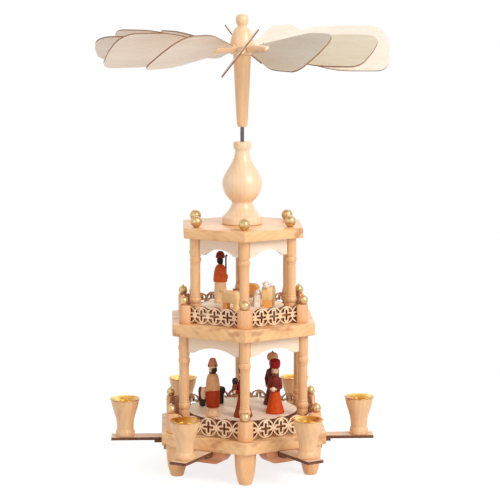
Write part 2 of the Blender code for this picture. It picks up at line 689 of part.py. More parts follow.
def build_fence(storey, finish):
    """Fence of one storey: six fretwork panels, half-round posts over their corners, and finials."""
    corner_radius = storey.post_circle + FRET_INSET
    half_side = corner_radius * sin(pi / SIDES)
    apothem = corner_radius * cos(pi / SIDES)
    bottom = storey.floor + FIT_GAP
    post_height = 2 * storey.ring_radius + 2 * FRET_LIFT + POST_RISE
    visible_half = half_side - POST_RADIUS * cos(pi / SIDES)
    post = prism("post", post_outline(), post_height)
    finial_shape = turned("finial", solid_profile(FINIAL_SHARES, FINIAL_RADIUS, FINIAL_HEIGHT), FINIAL_STEPS)
    finial_offset = POST_RADIUS * 4 / (3 * pi)
    parts = []
    for index in range(SIDES):
        phase = storey.ring_pitch / 2 * ((index + 1) % 2)
        panel = fret_panel(storey, half_side - FRET_END_CUT, visible_half, phase)
        parts.append(placed(panel, side_frame(index, apothem, bottom + FRET_LIFT)))
        angle = corner_angle(index)
        turn = Matrix.Rotation(angle, 4, "Z")
        parts.append(copy_at(post, Matrix.Translation(polar(storey.post_circle, angle, bottom)) @ turn))
        top = polar(storey.post_circle + finial_offset, angle, bottom + post_height - BOND)
        parts.append(copy_at(finial_shape, Matrix.Translation(top) @ turn))
    fence = combined("UNION", parts[0], parts[1:])
    add_piece(f"{storey.name}_fence", fence, finish)


def build_dome(finish):
    """Turned onion dome on the roof plate, bored for the axle."""
    dome = turned("onion_dome", solid_profile(DOME_SHARES, DOME_RADIUS, DOME_HEIGHT), DOME_STEPS)
    dome = combined("DIFFERENCE", dome, [axle_hole(0.0, DOME_HEIGHT)])
    add_piece("onion_dome", dome, finish, (0.0, 0.0, ROOF_TOP + FIT_GAP))


def build_bearing(finish):
    """Bearing cup on the base plate, with the conical pit in which the axle's point turns."""
    floor = BEARING_HEIGHT - BEARING_PIT_DEPTH
    mouth = AXLE_RADIUS + 2 * RUNNING_GAP
    profile = ((0.0, 0.0), (BEARING_RADIUS, 0.0), (BEARING_RADIUS, BEARING_HEIGHT), (mouth, BEARING_HEIGHT),
               (AXLE_TIP_RADIUS, floor), (0.0, floor))
    cup = turned("bearing_cup", profile, CUP_STEPS)
    add_piece("bearing_cup", cup, finish, (0.0, 0.0, BASE_TOP + FIT_GAP))


def build_axle(finish, rotor):
    """Steel axle from its point in the bearing to its end in the sleeve."""
    length = AXLE_TOP - AXLE_TIP
    profile = ((0.0, 0.0), (AXLE_TIP_RADIUS / 2, 0.0), (AXLE_RADIUS, AXLE_TIP_LENGTH), (AXLE_RADIUS, length),
               (0.0, length))
    add_piece("axle", turned("axle", profile, COLUMN_STEPS), finish, (0.0, 0.0, AXLE_TIP), parent=rotor)


def build_sleeve(finish, rotor):
    """Turned sleeve under the hub, bored from below for the axle."""
    sleeve = turned("hub_sleeve", solid_profile(SLEEVE_SHARES, SLEEVE_TOP_RADIUS, SLEEVE_HEIGHT), HUB_STEPS)
    bore = AXLE_RADIUS + FIT_GAP
    cutter = turned("bore", ((0.0, -OVERRUN), (bore, -OVERRUN), (bore, SLEEVE_BORE_DEPTH),
                             (0.0, SLEEVE_BORE_DEPTH)), COLUMN_STEPS)
    sleeve = combined("DIFFERENCE", sleeve, [cutter])
    add_piece("hub_sleeve", sleeve, finish, (0.0, 0.0, SLEEVE_BOTTOM), parent=rotor)


def blade_angle(index):
    """Angle of a blade about the axle."""
    return -pi / 2 + WHEEL_TURN + index * 2 * pi / BLADES


def build_hub(finish, rotor):
    """Bell-shaped hub with its ball, bored round its foot for the pegs of the blades."""
    hub = turned("hub", solid_profile(HUB_SHARES, HUB_RADIUS, HUB_HEIGHT), HUB_STEPS)
    start = HUB_RADIUS - PEG_TENON_DEPTH - FIT_GAP
    radius = (PEG_TENON_RADIUS + FIT_GAP) / cos(pi / LEG_STEPS)
    bores = [rod("bore", polar(start, blade_angle(index), PEG_LEVEL),
                 polar(HUB_RADIUS + OVERRUN, blade_angle(index), PEG_LEVEL), radius, radius, LEG_STEPS)
             for index in range(BLADES)]
    hub = combined("DIFFERENCE", hub, bores)
    add_piece("hub", hub, finish, (0.0, 0.0, HUB_BOTTOM), parent=rotor)


def blade_edge(corner, side):
    """One long edge of a blade with its rounded tip corner, from the root outwards."""
    half_width = BLADE_WIDTH / 2
    centre_x = BLADE_TIP - BLADE_TIP_BULGE - corner
    centre_y = half_width - corner
    edge = [(BLADE_ROOT, side * BLADE_ROOT_WIDTH / 2), (BLADE_SHOULDER, side * half_width)]
    for step in range(CORNER_STEPS + 1):
        turn = pi / 2 * (1 - step / CORNER_STEPS)
        edge.append((centre_x + corner * cos(turn), side * (centre_y + corner * sin(turn))))
    return edge


def blade_outline():
    """Outline of one blade, with X outwards from the axle and Y up across the blade."""
    return blade_edge(BLADE_UPPER_CORNER, 1) + [(BLADE_TIP, 0.0)] + blade_edge(BLADE_LOWER_CORNER, -1)[::-1]


def peg_profile():
    """Half section of a peg along its own axis, from the end of its tenon outwards."""
    start = HUB_RADIUS - PEG_TENON_DEPTH
    shoulder = HUB_RADIUS + FIT_GAP
    body = shoulder + PEG_NECK_LENGTH
    end = HUB_RADIUS + PEG_LENGTH
    return ((0.0, start), (PEG_TENON_RADIUS, start), (PEG_TENON_RADIUS, shoulder),
            (PEG_NECK_RADIUS, shoulder), (PEG_RADIUS, body), (PEG_RADIUS, end - PEG_ROUNDING), (0.0, end))


def build_blades(finish, rotor):
    """Twelve blades, each glued in the slot of its own peg, which turns in the hub to set its pitch."""
    peg = turned("blade", peg_profile(), LIMB_STEPS)
    placed(peg, Matrix.Rotation(pi / 2, 4, "Y"))
    plate = prism("plate", blade_outline(), BLADE_THICKNESS)
    placed(plate, Matrix.Translation((0.0, 0.0, -BLADE_THICKNESS / 2)))
    blade = combined("UNION", peg, [plate])
    for index in range(BLADES):
        add_piece(f"blade_{index + 1}", blade, finish, (0.0, 0.0, HUB_BOTTOM + PEG_LEVEL),
                  (radians(BLADE_PITCHES[index]), 0.0, blade_angle(index)), rotor)


def disc_profile(radius):
    """Half section of a disc with the collar under it that grips the axle. Its top face is at zero."""
    bore = AXLE_RADIUS + FIT_GAP
    bottom = -DISC_THICKNESS
    return ((bore, 0.0), (bore, bottom - COLLAR_HEIGHT), (COLLAR_RADIUS, bottom - COLLAR_HEIGHT),
            (COLLAR_RADIUS, bottom), (radius, bottom), (radius, 0.0))


def disc_place(storey, share, degrees, turned_out):
    """Point on a disc at a share of its radius, and the way that what stands there faces."""
    angle = corner_angle(0) + radians(degrees)
    place = polar(storey.disc_radius * share, angle, storey.floor + storey.disc_lift)
    return place, angle - pi / 2 + radians(turned_out)


def animal(name, shares, length, width_share, sunk):
    """A standing animal with X forwards, cut from one slice. Its feet are set down by the sunk depth."""
    width = length * width_share
    outline = [(length * along, length * up - sunk) for along, up in shares]
    upright = Matrix.Translation((0.0, width / 2, 0.0)) @ Matrix.Rotation(pi / 2, 4, "X")
    return placed(prism(name, outline, width), upright)


def build_discs(finish, rotor):
    """Figure discs. The flock of the upper storey is glued to its disc."""
    for storey in (LOWER, UPPER):
        disc = turned(f"{storey.name}_disc", disc_profile(storey.disc_radius), DISC_STEPS)
        if storey is UPPER:
            flock = []
            for place_shares in SHEEP_PLACES_SHARES:
                place, heading = disc_place(storey, *place_shares)
                place.z = 0.0
                matrix = Matrix.Translation(place) @ Matrix.Rotation(heading, 4, "Z")
                sheep = animal("sheep", SHEEP_SHARES, SHEEP_LENGTH, SHEEP_WIDTH_SHARE, BOND)
                flock.append(placed(sheep, matrix))
            disc = combined("UNION", disc, flock)
        height = storey.floor + storey.disc_lift
        add_piece(f"{storey.name}_disc", disc, finish, (0.0, 0.0, height), parent=rotor)


def figure_blank(name, shares, height):
    """Turned body of a figure."""
    return turned(name, solid_profile(shares, height, height), FIGURE_STEPS)


def hand_place(height, across):
    """Place of a hand of a figure that faces along +X, at a distance across from its middle."""
    return Vector((height * HAND_REACH_SHARE, across, height * HAND_LEVEL_SHARE))


def arm_pair(height, half_reach):
    """Two sleeved arms of a figure that faces along +X, with half the distance between its hands."""
    arms = []
    for side in (-1, 1):
        shoulder = (0.0, side * height * SHOULDER_WIDTH_SHARE, height * SHOULDER_LEVEL_SHARE)
        hand = hand_place(height, side * half_reach)
        arms.append(rod("arm", shoulder, hand, ARM_SLEEVE_RADIUS, ARM_SLEEVE_RADIUS, LEG_STEPS))
    return arms


def carried_jar(height):
    """The jar between the hands of a figure of a height."""
    jar = turned("jar", solid_profile(JAR_SHARES, GIFT_RADIUS, JAR_HEIGHT), LIMB_STEPS)
    held = hand_place(height, 0.0) - Vector((0.0, 0.0, JAR_HEIGHT * JAR_HOLD_SHARE))
    return placed(jar, Matrix.Translation(held))


def carried_ball(height):
    """The ball between the hands of a figure of a height."""
    return ball("ball", hand_place(height, 0.0), (GIFT_RADIUS, GIFT_RADIUS, GIFT_RADIUS), LIMB_STEPS)


def stand_on_disc(name, mesh, finish, storey, place_shares, rotor):
    """Places a figure a fit gap above its disc, facing the way the disc turns."""
    place, heading = disc_place(storey, *place_shares)
    place.z += FIT_GAP
    add_piece(name, mesh, finish, place, (0.0, 0.0, heading), rotor)


def build_figures(robes, fleece, rotor):
    """The turned figures, each one piece, and the dark animal that walks among them."""
    king_arms = arm_pair(KING_HEIGHT, GIFT_RADIUS)
    king = figure_blank("king", KING_SHARES, KING_HEIGHT)
    king = combined("UNION", king, king_arms + [carried_jar(KING_HEIGHT)])
    stand_on_disc("king_figure", king, robes["king"], LOWER, KING_PLACE_SHARES, rotor)
    hats = (HOOD_SHARES, CAP_SHARES, TURBAN_SHARES)
    names = ("hooded_figure", "red_cap_figure", "turban_figure")
    gifts = (carried_jar, carried_ball, carried_ball)
    for name, hat, gift, place in zip(names, hats, gifts, BEARER_PLACES_SHARES):
        body = figure_blank(name, BEARER_SHARES + hat, BEARER_HEIGHT)
        body = combined("UNION", body, arm_pair(BEARER_HEIGHT, GIFT_RADIUS) + [gift(BEARER_HEIGHT)])
        stand_on_disc(name, body, robes[name], LOWER, place, rotor)
    shepherd = figure_blank("shepherd", SHEPHERD_SHARES, SHEPHERD_HEIGHT)
    half_reach = SHEPHERD_HEIGHT * SHEPHERD_HANDS_SHARE
    hand = hand_place(SHEPHERD_HEIGHT, -half_reach)
    crook = rod("crook", (hand.x, hand.y, 0.0), (hand.x, hand.y, SHEPHERD_HEIGHT * CROOK_LEVEL_SHARE),
                CROOK_RADIUS, CROOK_RADIUS, LEG_STEPS)
    shepherd = combined("UNION", shepherd, arm_pair(SHEPHERD_HEIGHT, half_reach) + [crook])
    stand_on_disc("shepherd_figure", shepherd, robes["shepherd"], UPPER, SHEPHERD_PLACE_SHARES, rotor)
    camel = animal("camel", CAMEL_SHARES, CAMEL_LENGTH, CAMEL_WIDTH_SHARE, 0.0)
    stand_on_disc("dark_animal", camel, fleece, LOWER, CAMEL_PLACE_SHARES, rotor)


def main():
    """Builds the carousel from the floor up."""
    clear_scene()
    pale_wood = make_finish("pale_wood", (0.80, 0.52, 0.27), 0.45)
    column_wood = make_finish("column_wood", (0.78, 0.47, 0.22), 0.42)
    varnished_wood = make_finish("varnished_wood", (0.86, 0.62, 0.36), 0.30)
    ply = make_finish("ply", (0.86, 0.70, 0.50), 0.55)
    grey_ply = make_finish("grey_ply", (0.72, 0.62, 0.52), 0.60)
    blade_ply = make_finish("blade_ply", (0.84, 0.75, 0.62), 0.55)
    brass = make_finish("brass", (0.85, 0.62, 0.22), 0.28, 1.0)
    steel = make_finish("steel", (0.42, 0.40, 0.38), 0.35, 1.0)
    black = make_finish("black_paint", (0.02, 0.02, 0.02), 0.40)
    robes = {
        "king": make_finish("king_paint", (0.45, 0.12, 0.05), 0.40),
        "hooded_figure": make_finish("wine_paint", (0.28, 0.03, 0.03), 0.40),
        "red_cap_figure": make_finish("orange_paint", (0.70, 0.16, 0.03), 0.38),
        "turban_figure": make_finish("maroon_paint", (0.20, 0.02, 0.03), 0.40),
        "shepherd": make_finish("cape_paint", (0.55, 0.10, 0.03), 0.40),
    }
    rotor = bpy.data.objects.new("rotor_axis", None)
    bpy.context.scene.collection.objects.link(rotor)
    build_feet(pale_wood)
    build_base_plate(pale_wood)
    build_candle_arms(pale_wood, brass)
    build_columns(LOWER, column_wood)
    build_columns(UPPER, column_wood)
    build_middle_plate(pale_wood)
    build_roof_plate(pale_wood)
    build_fence(LOWER, ply)
    build_fence(UPPER, ply)
    build_dome(varnished_wood)
    build_bearing(brass)
    build_axle(steel, rotor)
    build_sleeve(column_wood, rotor)
    build_hub(varnished_wood, rotor)
    build_blades(blade_ply, rotor)
    build_discs(grey_ply, rotor)
    build_figures(robes, black, rotor)


main()
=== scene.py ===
"""Dressed model of a candle carousel: a hexagonal tower of turned wood with a wheel of pitched blades.

Six candles stand on arms round the base, painted figures turn on two discs, and twelve blades drive the
axle. Sizes are in metres, +Z is up, and one corner of the tower points along -Y, towards the viewer.
"""

import logging
from collections.abc import Sequence
from dataclasses import dataclass, field
from enum import Enum
from math import acos, atan2, cos, pi, radians, sin, sqrt
from typing import Any

import bmesh
import bpy
from mathutils import Matrix, Vector, geometry


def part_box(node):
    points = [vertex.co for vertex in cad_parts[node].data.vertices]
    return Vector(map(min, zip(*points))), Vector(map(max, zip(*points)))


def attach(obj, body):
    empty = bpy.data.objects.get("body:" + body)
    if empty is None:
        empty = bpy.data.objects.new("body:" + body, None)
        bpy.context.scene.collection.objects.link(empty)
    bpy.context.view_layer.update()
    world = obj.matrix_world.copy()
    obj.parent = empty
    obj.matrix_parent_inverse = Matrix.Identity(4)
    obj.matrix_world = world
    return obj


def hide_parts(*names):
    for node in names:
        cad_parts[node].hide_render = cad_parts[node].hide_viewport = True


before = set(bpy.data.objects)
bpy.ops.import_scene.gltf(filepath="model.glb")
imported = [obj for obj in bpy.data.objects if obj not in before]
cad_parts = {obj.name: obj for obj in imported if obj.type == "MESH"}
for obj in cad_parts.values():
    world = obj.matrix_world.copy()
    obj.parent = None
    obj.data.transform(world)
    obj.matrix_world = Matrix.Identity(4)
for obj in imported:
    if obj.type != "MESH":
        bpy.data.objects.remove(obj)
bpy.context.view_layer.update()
LOG = logging.getLogger("candle_carousel")

SIDES = 6
# Pitch of each blade against the level, in degrees.
BLADE_PITCHES = (52, 38, 31, 51, 44, 46, 46, 31, 37, 26, 38, 35)
# Circles on which the columns of the two storeys stand.
LOWER_CIRCLE, UPPER_CIRCLE = 0.0676, 0.0543
# Gap between two pieces that sit on or in each other.
SEAT = 0.0003
# Rounding of an edge that is only rubbed down.
FINE_EDGE = 0.0003
SMOOTH_ANGLE = radians(28)
# Distance under which two corners count as one.
WELD = 0.0000004
# Pitch in metres of a wave of scale one.
WAVE_UNIT = 0.314
LEFT_AND_RIGHT = ((-1, "right"), (1, "left"))

Shape = bmesh.types.BMesh
Socket = bpy.types.NodeSocket
Point = tuple[float, float]
Colour = tuple[int, int, int]


class Body(Enum):
    """The two main bodies of the carousel."""

    STAND = "stand"
    ROTOR = "rotor"


class Grain(Enum):
    """The way the grain runs in a piece as it lies on the bench."""

    UPRIGHT = "upright"
    LENGTHWISE = "lengthwise"

    def of(self, place: Vector) -> Vector:
        """Turns a bench place into (across, through, along) the grain."""
        if self is Grain.LENGTHWISE:
            return Vector((place.y, place.z, place.x))
        return Vector((place.x, place.y, place.z))


def linear(colour: Colour) -> tuple[float, float, float, float]:
    """Turns a colour as seen on a screen, 0 to 255, into the values that a shader takes."""
    values = []
    for channel in colour:
        share = channel / 255
        values.append(share / 12.92 if share <= 0.04045 else ((share + 0.055) / 1.055) ** 2.4)
    return (*values, 1.0)


class Bench:
    """Lays out the nodes of a finish, or of the room's light."""

    def __init__(self, owner: bpy.types.ID) -> None:
        """Starts on a fresh material or world.

        Args:
            owner: The material or the world.
        """
        owner.use_nodes = True
        self.owner = owner
        self.nodes = owner.node_tree.nodes
        self.links = owner.node_tree.links

    def add(self, kind: str, feeds: dict[Any, Any] | None = None, **settings: Any) -> bpy.types.Node:
        """Adds a node.

        Args:
            kind: The node's type.
            feeds: Values or sockets for its inputs, by name or number.
            **settings: Values for the node's own settings.

        Returns:
            The new node.
        """
        node = self.nodes.new(kind)
        for name, value in settings.items():
            setattr(node, name, value)
        for socket, value in (feeds or {}).items():
            self.feed(node.inputs[socket], value)
        return node

    def feed(self, socket: Socket, value: Any) -> None:
        """Sets an input, or links it when the value is another node's output."""
        if isinstance(value, Socket):
            self.links.new(value, socket)
        else:
            socket.default_value = value

    def grain(self, along: float = 1.0, through: float = 1.0) -> Socket:
        """Gives the piece's own coordinates across, through and along its grain, scaled."""
        place = self.add("ShaderNodeAttribute", attribute_name="grain").outputs["Vector"]
        feeds = {"Vector": place, "Scale": (1.0, through, along)}
        return self.add("ShaderNodeMapping", feeds).outputs["Vector"]

    def noise(self, place: Socket, scale: float, detail: float = 2.0, roughness: float = 0.5) -> Socket:
        """Gives a noise value between nought and one."""
        feeds = {"Vector": place, "Scale": scale, "Detail": detail, "Roughness": roughness}
        return self.add("ShaderNodeTexNoise", feeds).outputs[0]

    def spread(self, value: Any, low: float, high: float, to_low: float = 0.0,
               to_high: float = 1.0) -> Socket:
        """Maps a value from one range to another, held at the ends."""
        feeds = {"Value": value, "From Min": low, "From Max": high, "To Min": to_low, "To Max": to_high}
        return self.add("ShaderNodeMapRange", feeds).outputs[0]

    def sum_of(self, *shares: tuple[Any, float]) -> Socket:
        """Adds up values, each with its own weight."""
        total: Any = 0.0
        for value, weight in shares:
            node = self.add("ShaderNodeMath", {0: value, 1: weight, 2: total}, operation="MULTIPLY_ADD")
            total = node.outputs[0]
        return total

    def tone(self, *layers: tuple[Any, float, float]) -> Socket:
        """Adds up values, each with a weight and with the low end that counts as nought."""
        return self.sum_of(*((self.spread(value, low, 1.0 - low), weight) for value, weight, low in layers))

    def wave(self, place: Socket, pitch: float, distortion: float, detail: float,
             detail_scale: float = 1.0, **settings: str) -> Socket:
        """Gives bands or rings between nought and one.

        Args:
            place: The coordinates.
            pitch: The distance from one band to the next, in metres.
            distortion: How far the bands waver.
            detail: How fine they waver.
            detail_scale: The scale of the wavering.
            **settings: The kind of wave and its direction.

        Returns:
            The value.
        """
        feeds = {"Vector": place, "Scale": WAVE_UNIT / pitch, "Distortion": distortion, "Detail": detail,
                 "Detail Scale": detail_scale}
        return self.add("ShaderNodeTexWave", feeds, **settings).outputs[1]

    def blend(self, share: Any, first: Any, second: Any) -> Socket:
        """Mixes two colours by a share of the second."""
        feeds = {0: share, 6: first, 7: second}
        return self.add("ShaderNodeMix", feeds, data_type="RGBA").outputs[2]

    def stain(self, colour: Any, spots: Any, low: float, high: float, share: float,
              tint: Colour) -> Socket:
        """Tints a colour in spots.

        Args:
            colour: The colour.
            spots: The value that is high in the spots.
            low: The value at which the tint starts.
            high: The value at which it is full.
            share: The share of the tint where it is full.
            tint: The spots' colour.

        Returns:
            The stained colour.
        """
        return self.blend(self.spread(spots, low, high, 0.0, share), colour, linear(tint))

    def ramp(self, value: Any, *stops: tuple[float, Colour]) -> Socket:
        """Runs a value through a ramp of colours.

        Args:
            value: The value, from nought to one.
            *stops: The place and the colour of each stop.

        Returns:
            The colour.
        """
        node = self.add("ShaderNodeValToRGB", {0: value})
        elements = node.color_ramp.elements
        while len(elements) < len(stops):
            elements.new(0.5)
        for element, (place, colour) in zip(elements, stops):
            element.position = place
            element.color = linear(colour)
        return node.outputs[0]

    def finish(self, colour: Any, roughness: Any, height: Any, depth: float, coat: float = 0.0,
               coat_roughness: float = 0.2, metallic: float = 0.0, shine: float = 0.5) -> bpy.types.Material:
        """Joins colour, roughness and relief to the shader.

        Args:
            colour: The base colour.
            roughness: The roughness.
            height: The relief, from nought to one.
            depth: The depth of the relief in metres.
            coat: The weight of the varnish.
            coat_roughness: The roughness of the varnish.
            metallic: One for a metal.
            shine: The strength of the mirrored light on a surface that isn't metal.

        Returns:
            The finished material.
        """
        bump = self.add("ShaderNodeBump", {"Height": height, "Distance": depth, "Strength": 1.0})
        feeds = {"Normal": bump.outputs[0], "Base Color": colour, "Roughness": roughness,
                 "Metallic": metallic, "Specular IOR Level": shine, "Coat Weight": coat,
                 "Coat Roughness": coat_roughness}
        for name, value in feeds.items():
            self.feed(self.nodes["Principled BSDF"].inputs[name], value)
        return self.owner

    def show_room(self, output: str, lit: Socket, shown: Socket) -> None:
        """Gives the rays that show the room, in the camera, a mirror or glass, a shader of their own.

        Args:
            output: The name of the output node.
            lit: The shader for all other rays.
            shown: The shader for the rays that show the room.
        """
        path = self.add("ShaderNodeLightPath").outputs
        seen = path["Is Camera Ray"]
        for kind in ("Is Glossy Ray", "Is Transmission Ray"):
            seen = self.add("ShaderNodeMath", {0: seen, 1: path[kind]}, operation="MAXIMUM").outputs[0]
        mixed = self.add("ShaderNodeMixShader", {0: seen, 1: lit, 2: shown})
        self.feed(self.nodes[output].inputs["Surface"], mixed.outputs[0])


MADE: dict[str, bpy.types.Material] = {}


@dataclass(frozen=True)
class Finish:
    """A finish of the carousel."""

    name: str

    def material(self) -> bpy.types.Material:
        """Gives the finish's material, made once."""
        if self.name not in MADE:
            MADE[self.name] = self.make(Bench(bpy.data.materials.new(self.name)))
        return MADE[self.name]

    def make(self, bench: Bench) -> bpy.types.Material:
        """Lays out the finish on a bench."""
        raise NotImplementedError


@dataclass(frozen=True)
class Wood(Finish):
    """Sanded wood with growth rings, fibres and fine dark flecks under a thin varnish."""

    pale: Colour
    dark: Colour
    fleck: Colour = (150, 96, 58)
    ring_pitch: float = 0.0042
    ring_share: float = 0.20
    fleck_share: float = 0.30
    heart_share: float = 0.0
    heart: Colour = (150, 100, 62)
    roughness: float = 0.42
    coat: float = 0.25

    def make(self, bench: Bench) -> bpy.types.Material:
        """Lays out the finish on a bench."""
        along = bench.grain(0.05)
        fibre = bench.noise(along, 1500.0, 3.0, 0.6)
        figure = bench.noise(bench.grain(0.16), 85.0, 3.0, 0.55)
        rings = bench.wave(along, self.ring_pitch, 2.0, 2.0, 0.5, wave_type="RINGS", rings_direction="Z",
                           wave_profile="TRI")
        tone = bench.tone((rings, self.ring_share, 0.0), (figure, 0.62 - self.ring_share, 0.3),
                          (fibre, 0.38, 0.25))
        middle = tuple((a + b) // 2 for a, b in zip(self.pale, self.dark))
        colour = bench.ramp(tone, (0.12, self.pale), (0.52, middle), (0.92, self.dark))
        flecks = bench.noise(bench.grain(0.09), 3800.0, 1.0)
        colour = bench.stain(colour, flecks, 0.62, 0.74, self.fleck_share, self.fleck)
        if self.heart_share:
            streaks = bench.noise(along, 110.0, 2.0, 0.5)
            colour = bench.stain(colour, streaks, 0.55, 0.70, self.heart_share, self.heart)
        roughness = bench.spread(fibre, 0.2, 0.8, self.roughness - 0.06, self.roughness + 0.08)
        relief = bench.sum_of((fibre, 0.6), (rings, 0.4))
        return bench.finish(colour, roughness, relief, 0.00005, self.coat, 0.32)


@dataclass(frozen=True)
class Ply(Finish):
    """Face of thin plywood: straight fine grain with short dark pores."""

    pale: Colour
    dark: Colour
    pore: Colour = (150, 110, 80)
    pore_share: float = 0.35
    roughness: float = 0.55

    def make(self, bench: Bench) -> bpy.types.Material:
        """Lays out the finish on a bench."""
        fibre = bench.noise(bench.grain(0.035), 1300.0, 3.0, 0.6)
        figure = bench.noise(bench.grain(0.12), 110.0, 3.0, 0.5)
        tone = bench.tone((fibre, 0.5, 0.28), (figure, 0.5, 0.3))
        colour = bench.ramp(tone, (0.1, self.pale), (0.9, self.dark))
        pores = bench.noise(bench.grain(0.07), 2900.0, 1.0)
        colour = bench.stain(colour, pores, 0.60, 0.72, self.pore_share, self.pore)
        roughness = bench.spread(fibre, 0.2, 0.8, self.roughness - 0.05, self.roughness + 0.1)
        relief = bench.sum_of((fibre, 0.5), (bench.spread(pores, 0.60, 0.72), -0.5))
        return bench.finish(colour, roughness, relief, 0.00005, 0.05, 0.35)


@dataclass(frozen=True)
class Scorch(Finish):
    """Edge of laser-cut plywood: three layers under a brown scorch of uneven depth."""

    brown: Colour
    black: Colour
    thickness: float = 0.003

    def make(self, bench: Bench) -> bpy.types.Material:
        """Lays out the finish on a bench."""
        layers = bench.wave(bench.grain(), self.thickness / 1.5, 0.6, 1.0, 4.0, wave_type="BANDS",
                            bands_direction="Y")
        burn = bench.noise(bench.grain(through=0.15), 700.0, 3.0, 0.6)
        tone = bench.tone((layers, 0.35, 0.0), (burn, 0.65, 0.3))
        colour = bench.ramp(tone, (0.15, self.brown), (0.85, self.black))
        roughness = bench.spread(burn, 0.2, 0.8, 0.55, 0.75)
        return bench.finish(colour, roughness, tone, 0.00008)


@dataclass(frozen=True)
class Paint(Finish):
    """Stain or paint on turned wood, thin enough to show the grain, with a satin varnish."""

    colour: Colour
    worn: Colour
    roughness: float = 0.50
    coat: float = 0.03

    def make(self, bench: Bench) -> bpy.types.Material:
        """Lays out the finish on a bench."""
        fibre = bench.noise(bench.grain(0.06), 1400.0, 3.0, 0.6)
        brush = bench.noise(bench.grain(0.5), 420.0, 3.0, 0.6)
        tone = bench.tone((fibre, 0.5, 0.3), (brush, 0.5, 0.3))
        colour = bench.ramp(tone, (0.15, self.colour), (0.95, self.worn))
        roughness = bench.spread(brush, 0.2, 0.8, self.roughness - 0.06, self.roughness + 0.10)
        return bench.finish(colour, roughness, tone, 0.00004, self.coat, 0.18, shine=0.22)


@dataclass(frozen=True)
class TurnedMetal(Finish):
    """Metal spun on a lathe, with fine rings round its axis and small changes of tone."""

    bright: Colour
    deep: Colour
    roughness: float
    mark_pitch: float = 0.0005

    def make(self, bench: Bench) -> bpy.types.Material:
        """Lays out the finish on a bench."""
        marks = bench.wave(bench.grain(), self.mark_pitch, 0.8, 1.0, wave_type="RINGS",
                           rings_direction="Z")
        cloud = bench.noise(bench.grain(), 160.0, 2.0, 0.5)
        tone = bench.tone((marks, 0.35, 0.0), (cloud, 0.65, 0.3))
        colour = bench.ramp(tone, (0.1, self.bright), (0.95, self.deep))
        roughness = bench.spread(cloud, 0.2, 0.8, self.roughness - 0.05, self.roughness + 0.08)
        return bench.finish(colour, roughness, marks, 0.000004, metallic=1.0)


@dataclass(frozen=True)
class GoldPaint(Finish):
    """Gold paint on a small wooden ball, with the sparkle of its flakes."""

    bright: Colour
    deep: Colour
    roughness: float = 0.34

    def make(self, bench: Bench) -> bpy.types.Material:
        """Lays out the finish on a bench."""
        flakes = bench.noise(bench.grain(), 5200.0, 1.0)
        cloud = bench.noise(bench.grain(), 420.0, 2.0)
        tone = bench.tone((flakes, 0.45, 0.35), (cloud, 0.55, 0.3))
        colour = bench.ramp(tone, (0.1, self.bright), (0.95, self.deep))
        roughness = bench.spread(flakes, 0.3, 0.7, self.roughness - 0.08, self.roughness + 0.08)
        return bench.finish(colour, roughness, flakes, 0.00003, 0.15, 0.15, metallic=0.88)


@dataclass(frozen=True)
class DrawnSteel(Finish):
    """Dark drawn steel rod with fine lines along it."""

    bright: Colour
    deep: Colour

    def make(self, bench: Bench) -> bpy.types.Material:
        """Lays out the finish on a bench."""
        drawn = bench.noise(bench.grain(0.02), 5000.0, 2.0)
        cloud = bench.noise(bench.grain(0.3), 200.0, 3.0)
        tone = bench.tone((drawn, 0.5, 0.3), (cloud, 0.5, 0.3))
        colour = bench.ramp(tone, (0.1, self.bright), (0.95, self.deep))
        roughness = bench.spread(cloud, 0.2, 0.8, 0.26, 0.42)
        return bench.finish(colour, roughness, drawn, 0.00002, metallic=1.0)


BOARD = Wood("board_wood", (250, 205, 150), (228, 169, 110), heart_share=0.60, heart=(174, 104, 54),
             coat=0.35)
FOOT_WOOD = Wood("foot_wood", (250, 200, 146), (230, 166, 108), coat=0.3)
COLUMN_WOOD = Wood("column_wood", (248, 200, 148), (222, 162, 106), coat=0.3)
CUP_WOOD = Wood("cup_wood", (246, 204, 156), (224, 170, 118), coat=0.2)
DOME_WOOD = Wood("dome_wood", (252, 224, 190), (240, 196, 150), roughness=0.32, coat=0.5)
SLEEVE_WOOD = Wood("sleeve_wood", (248, 206, 156), (228, 174, 120), coat=0.4, roughness=0.36)
HUB_WOOD = Wood("hub_wood", (252, 222, 184), (238, 192, 142), roughness=0.34, coat=0.45)
POST_WOOD = Wood("post_wood", (248, 194, 142), (222, 158, 102))
# Brackets under the plate: darker and redder, partly the wood's own tone and partly painted shade.
BRACKET_WOOD_AND_SHADE = Wood("bracket_wood", (230, 160, 112), (190, 112, 66), heart_share=0.4, heart=(150, 84, 48))
SKIN_WOOD = Wood("skin_wood", (248, 206, 160), (234, 182, 132), fleck_share=0.1, coat=0.2)
FRET_PLY = Ply("fret_ply", (254, 226, 192), (238, 194, 152))
ARCH_PLY = Ply("arch_ply", (248, 228, 204), (234, 206, 176), pore_share=0.25)
BLADE_PLY = Ply("blade_ply", (248, 235, 220), (236, 217, 198), pore_share=0.2)
# Painted shade: darker copies of the blade ply for blades 2 and 3, the first darker than the second.
SHADED_BLADE_PLY = Ply("shaded_blade_ply", (218, 206, 187), (208, 190, 168), pore_share=0.2)
PART_SHADED_BLADE_PLY = Ply("part_shaded_blade_ply", (234, 222, 197), (222, 206, 177), pore_share=0.2)
SHADED_BLADE_SHEETS = {2: SHADED_BLADE_PLY, 3: PART_SHADED_BLADE_PLY}
DISC_PLY = Ply("disc_ply", (255, 240, 214), (250, 220, 188), pore_share=0.3)
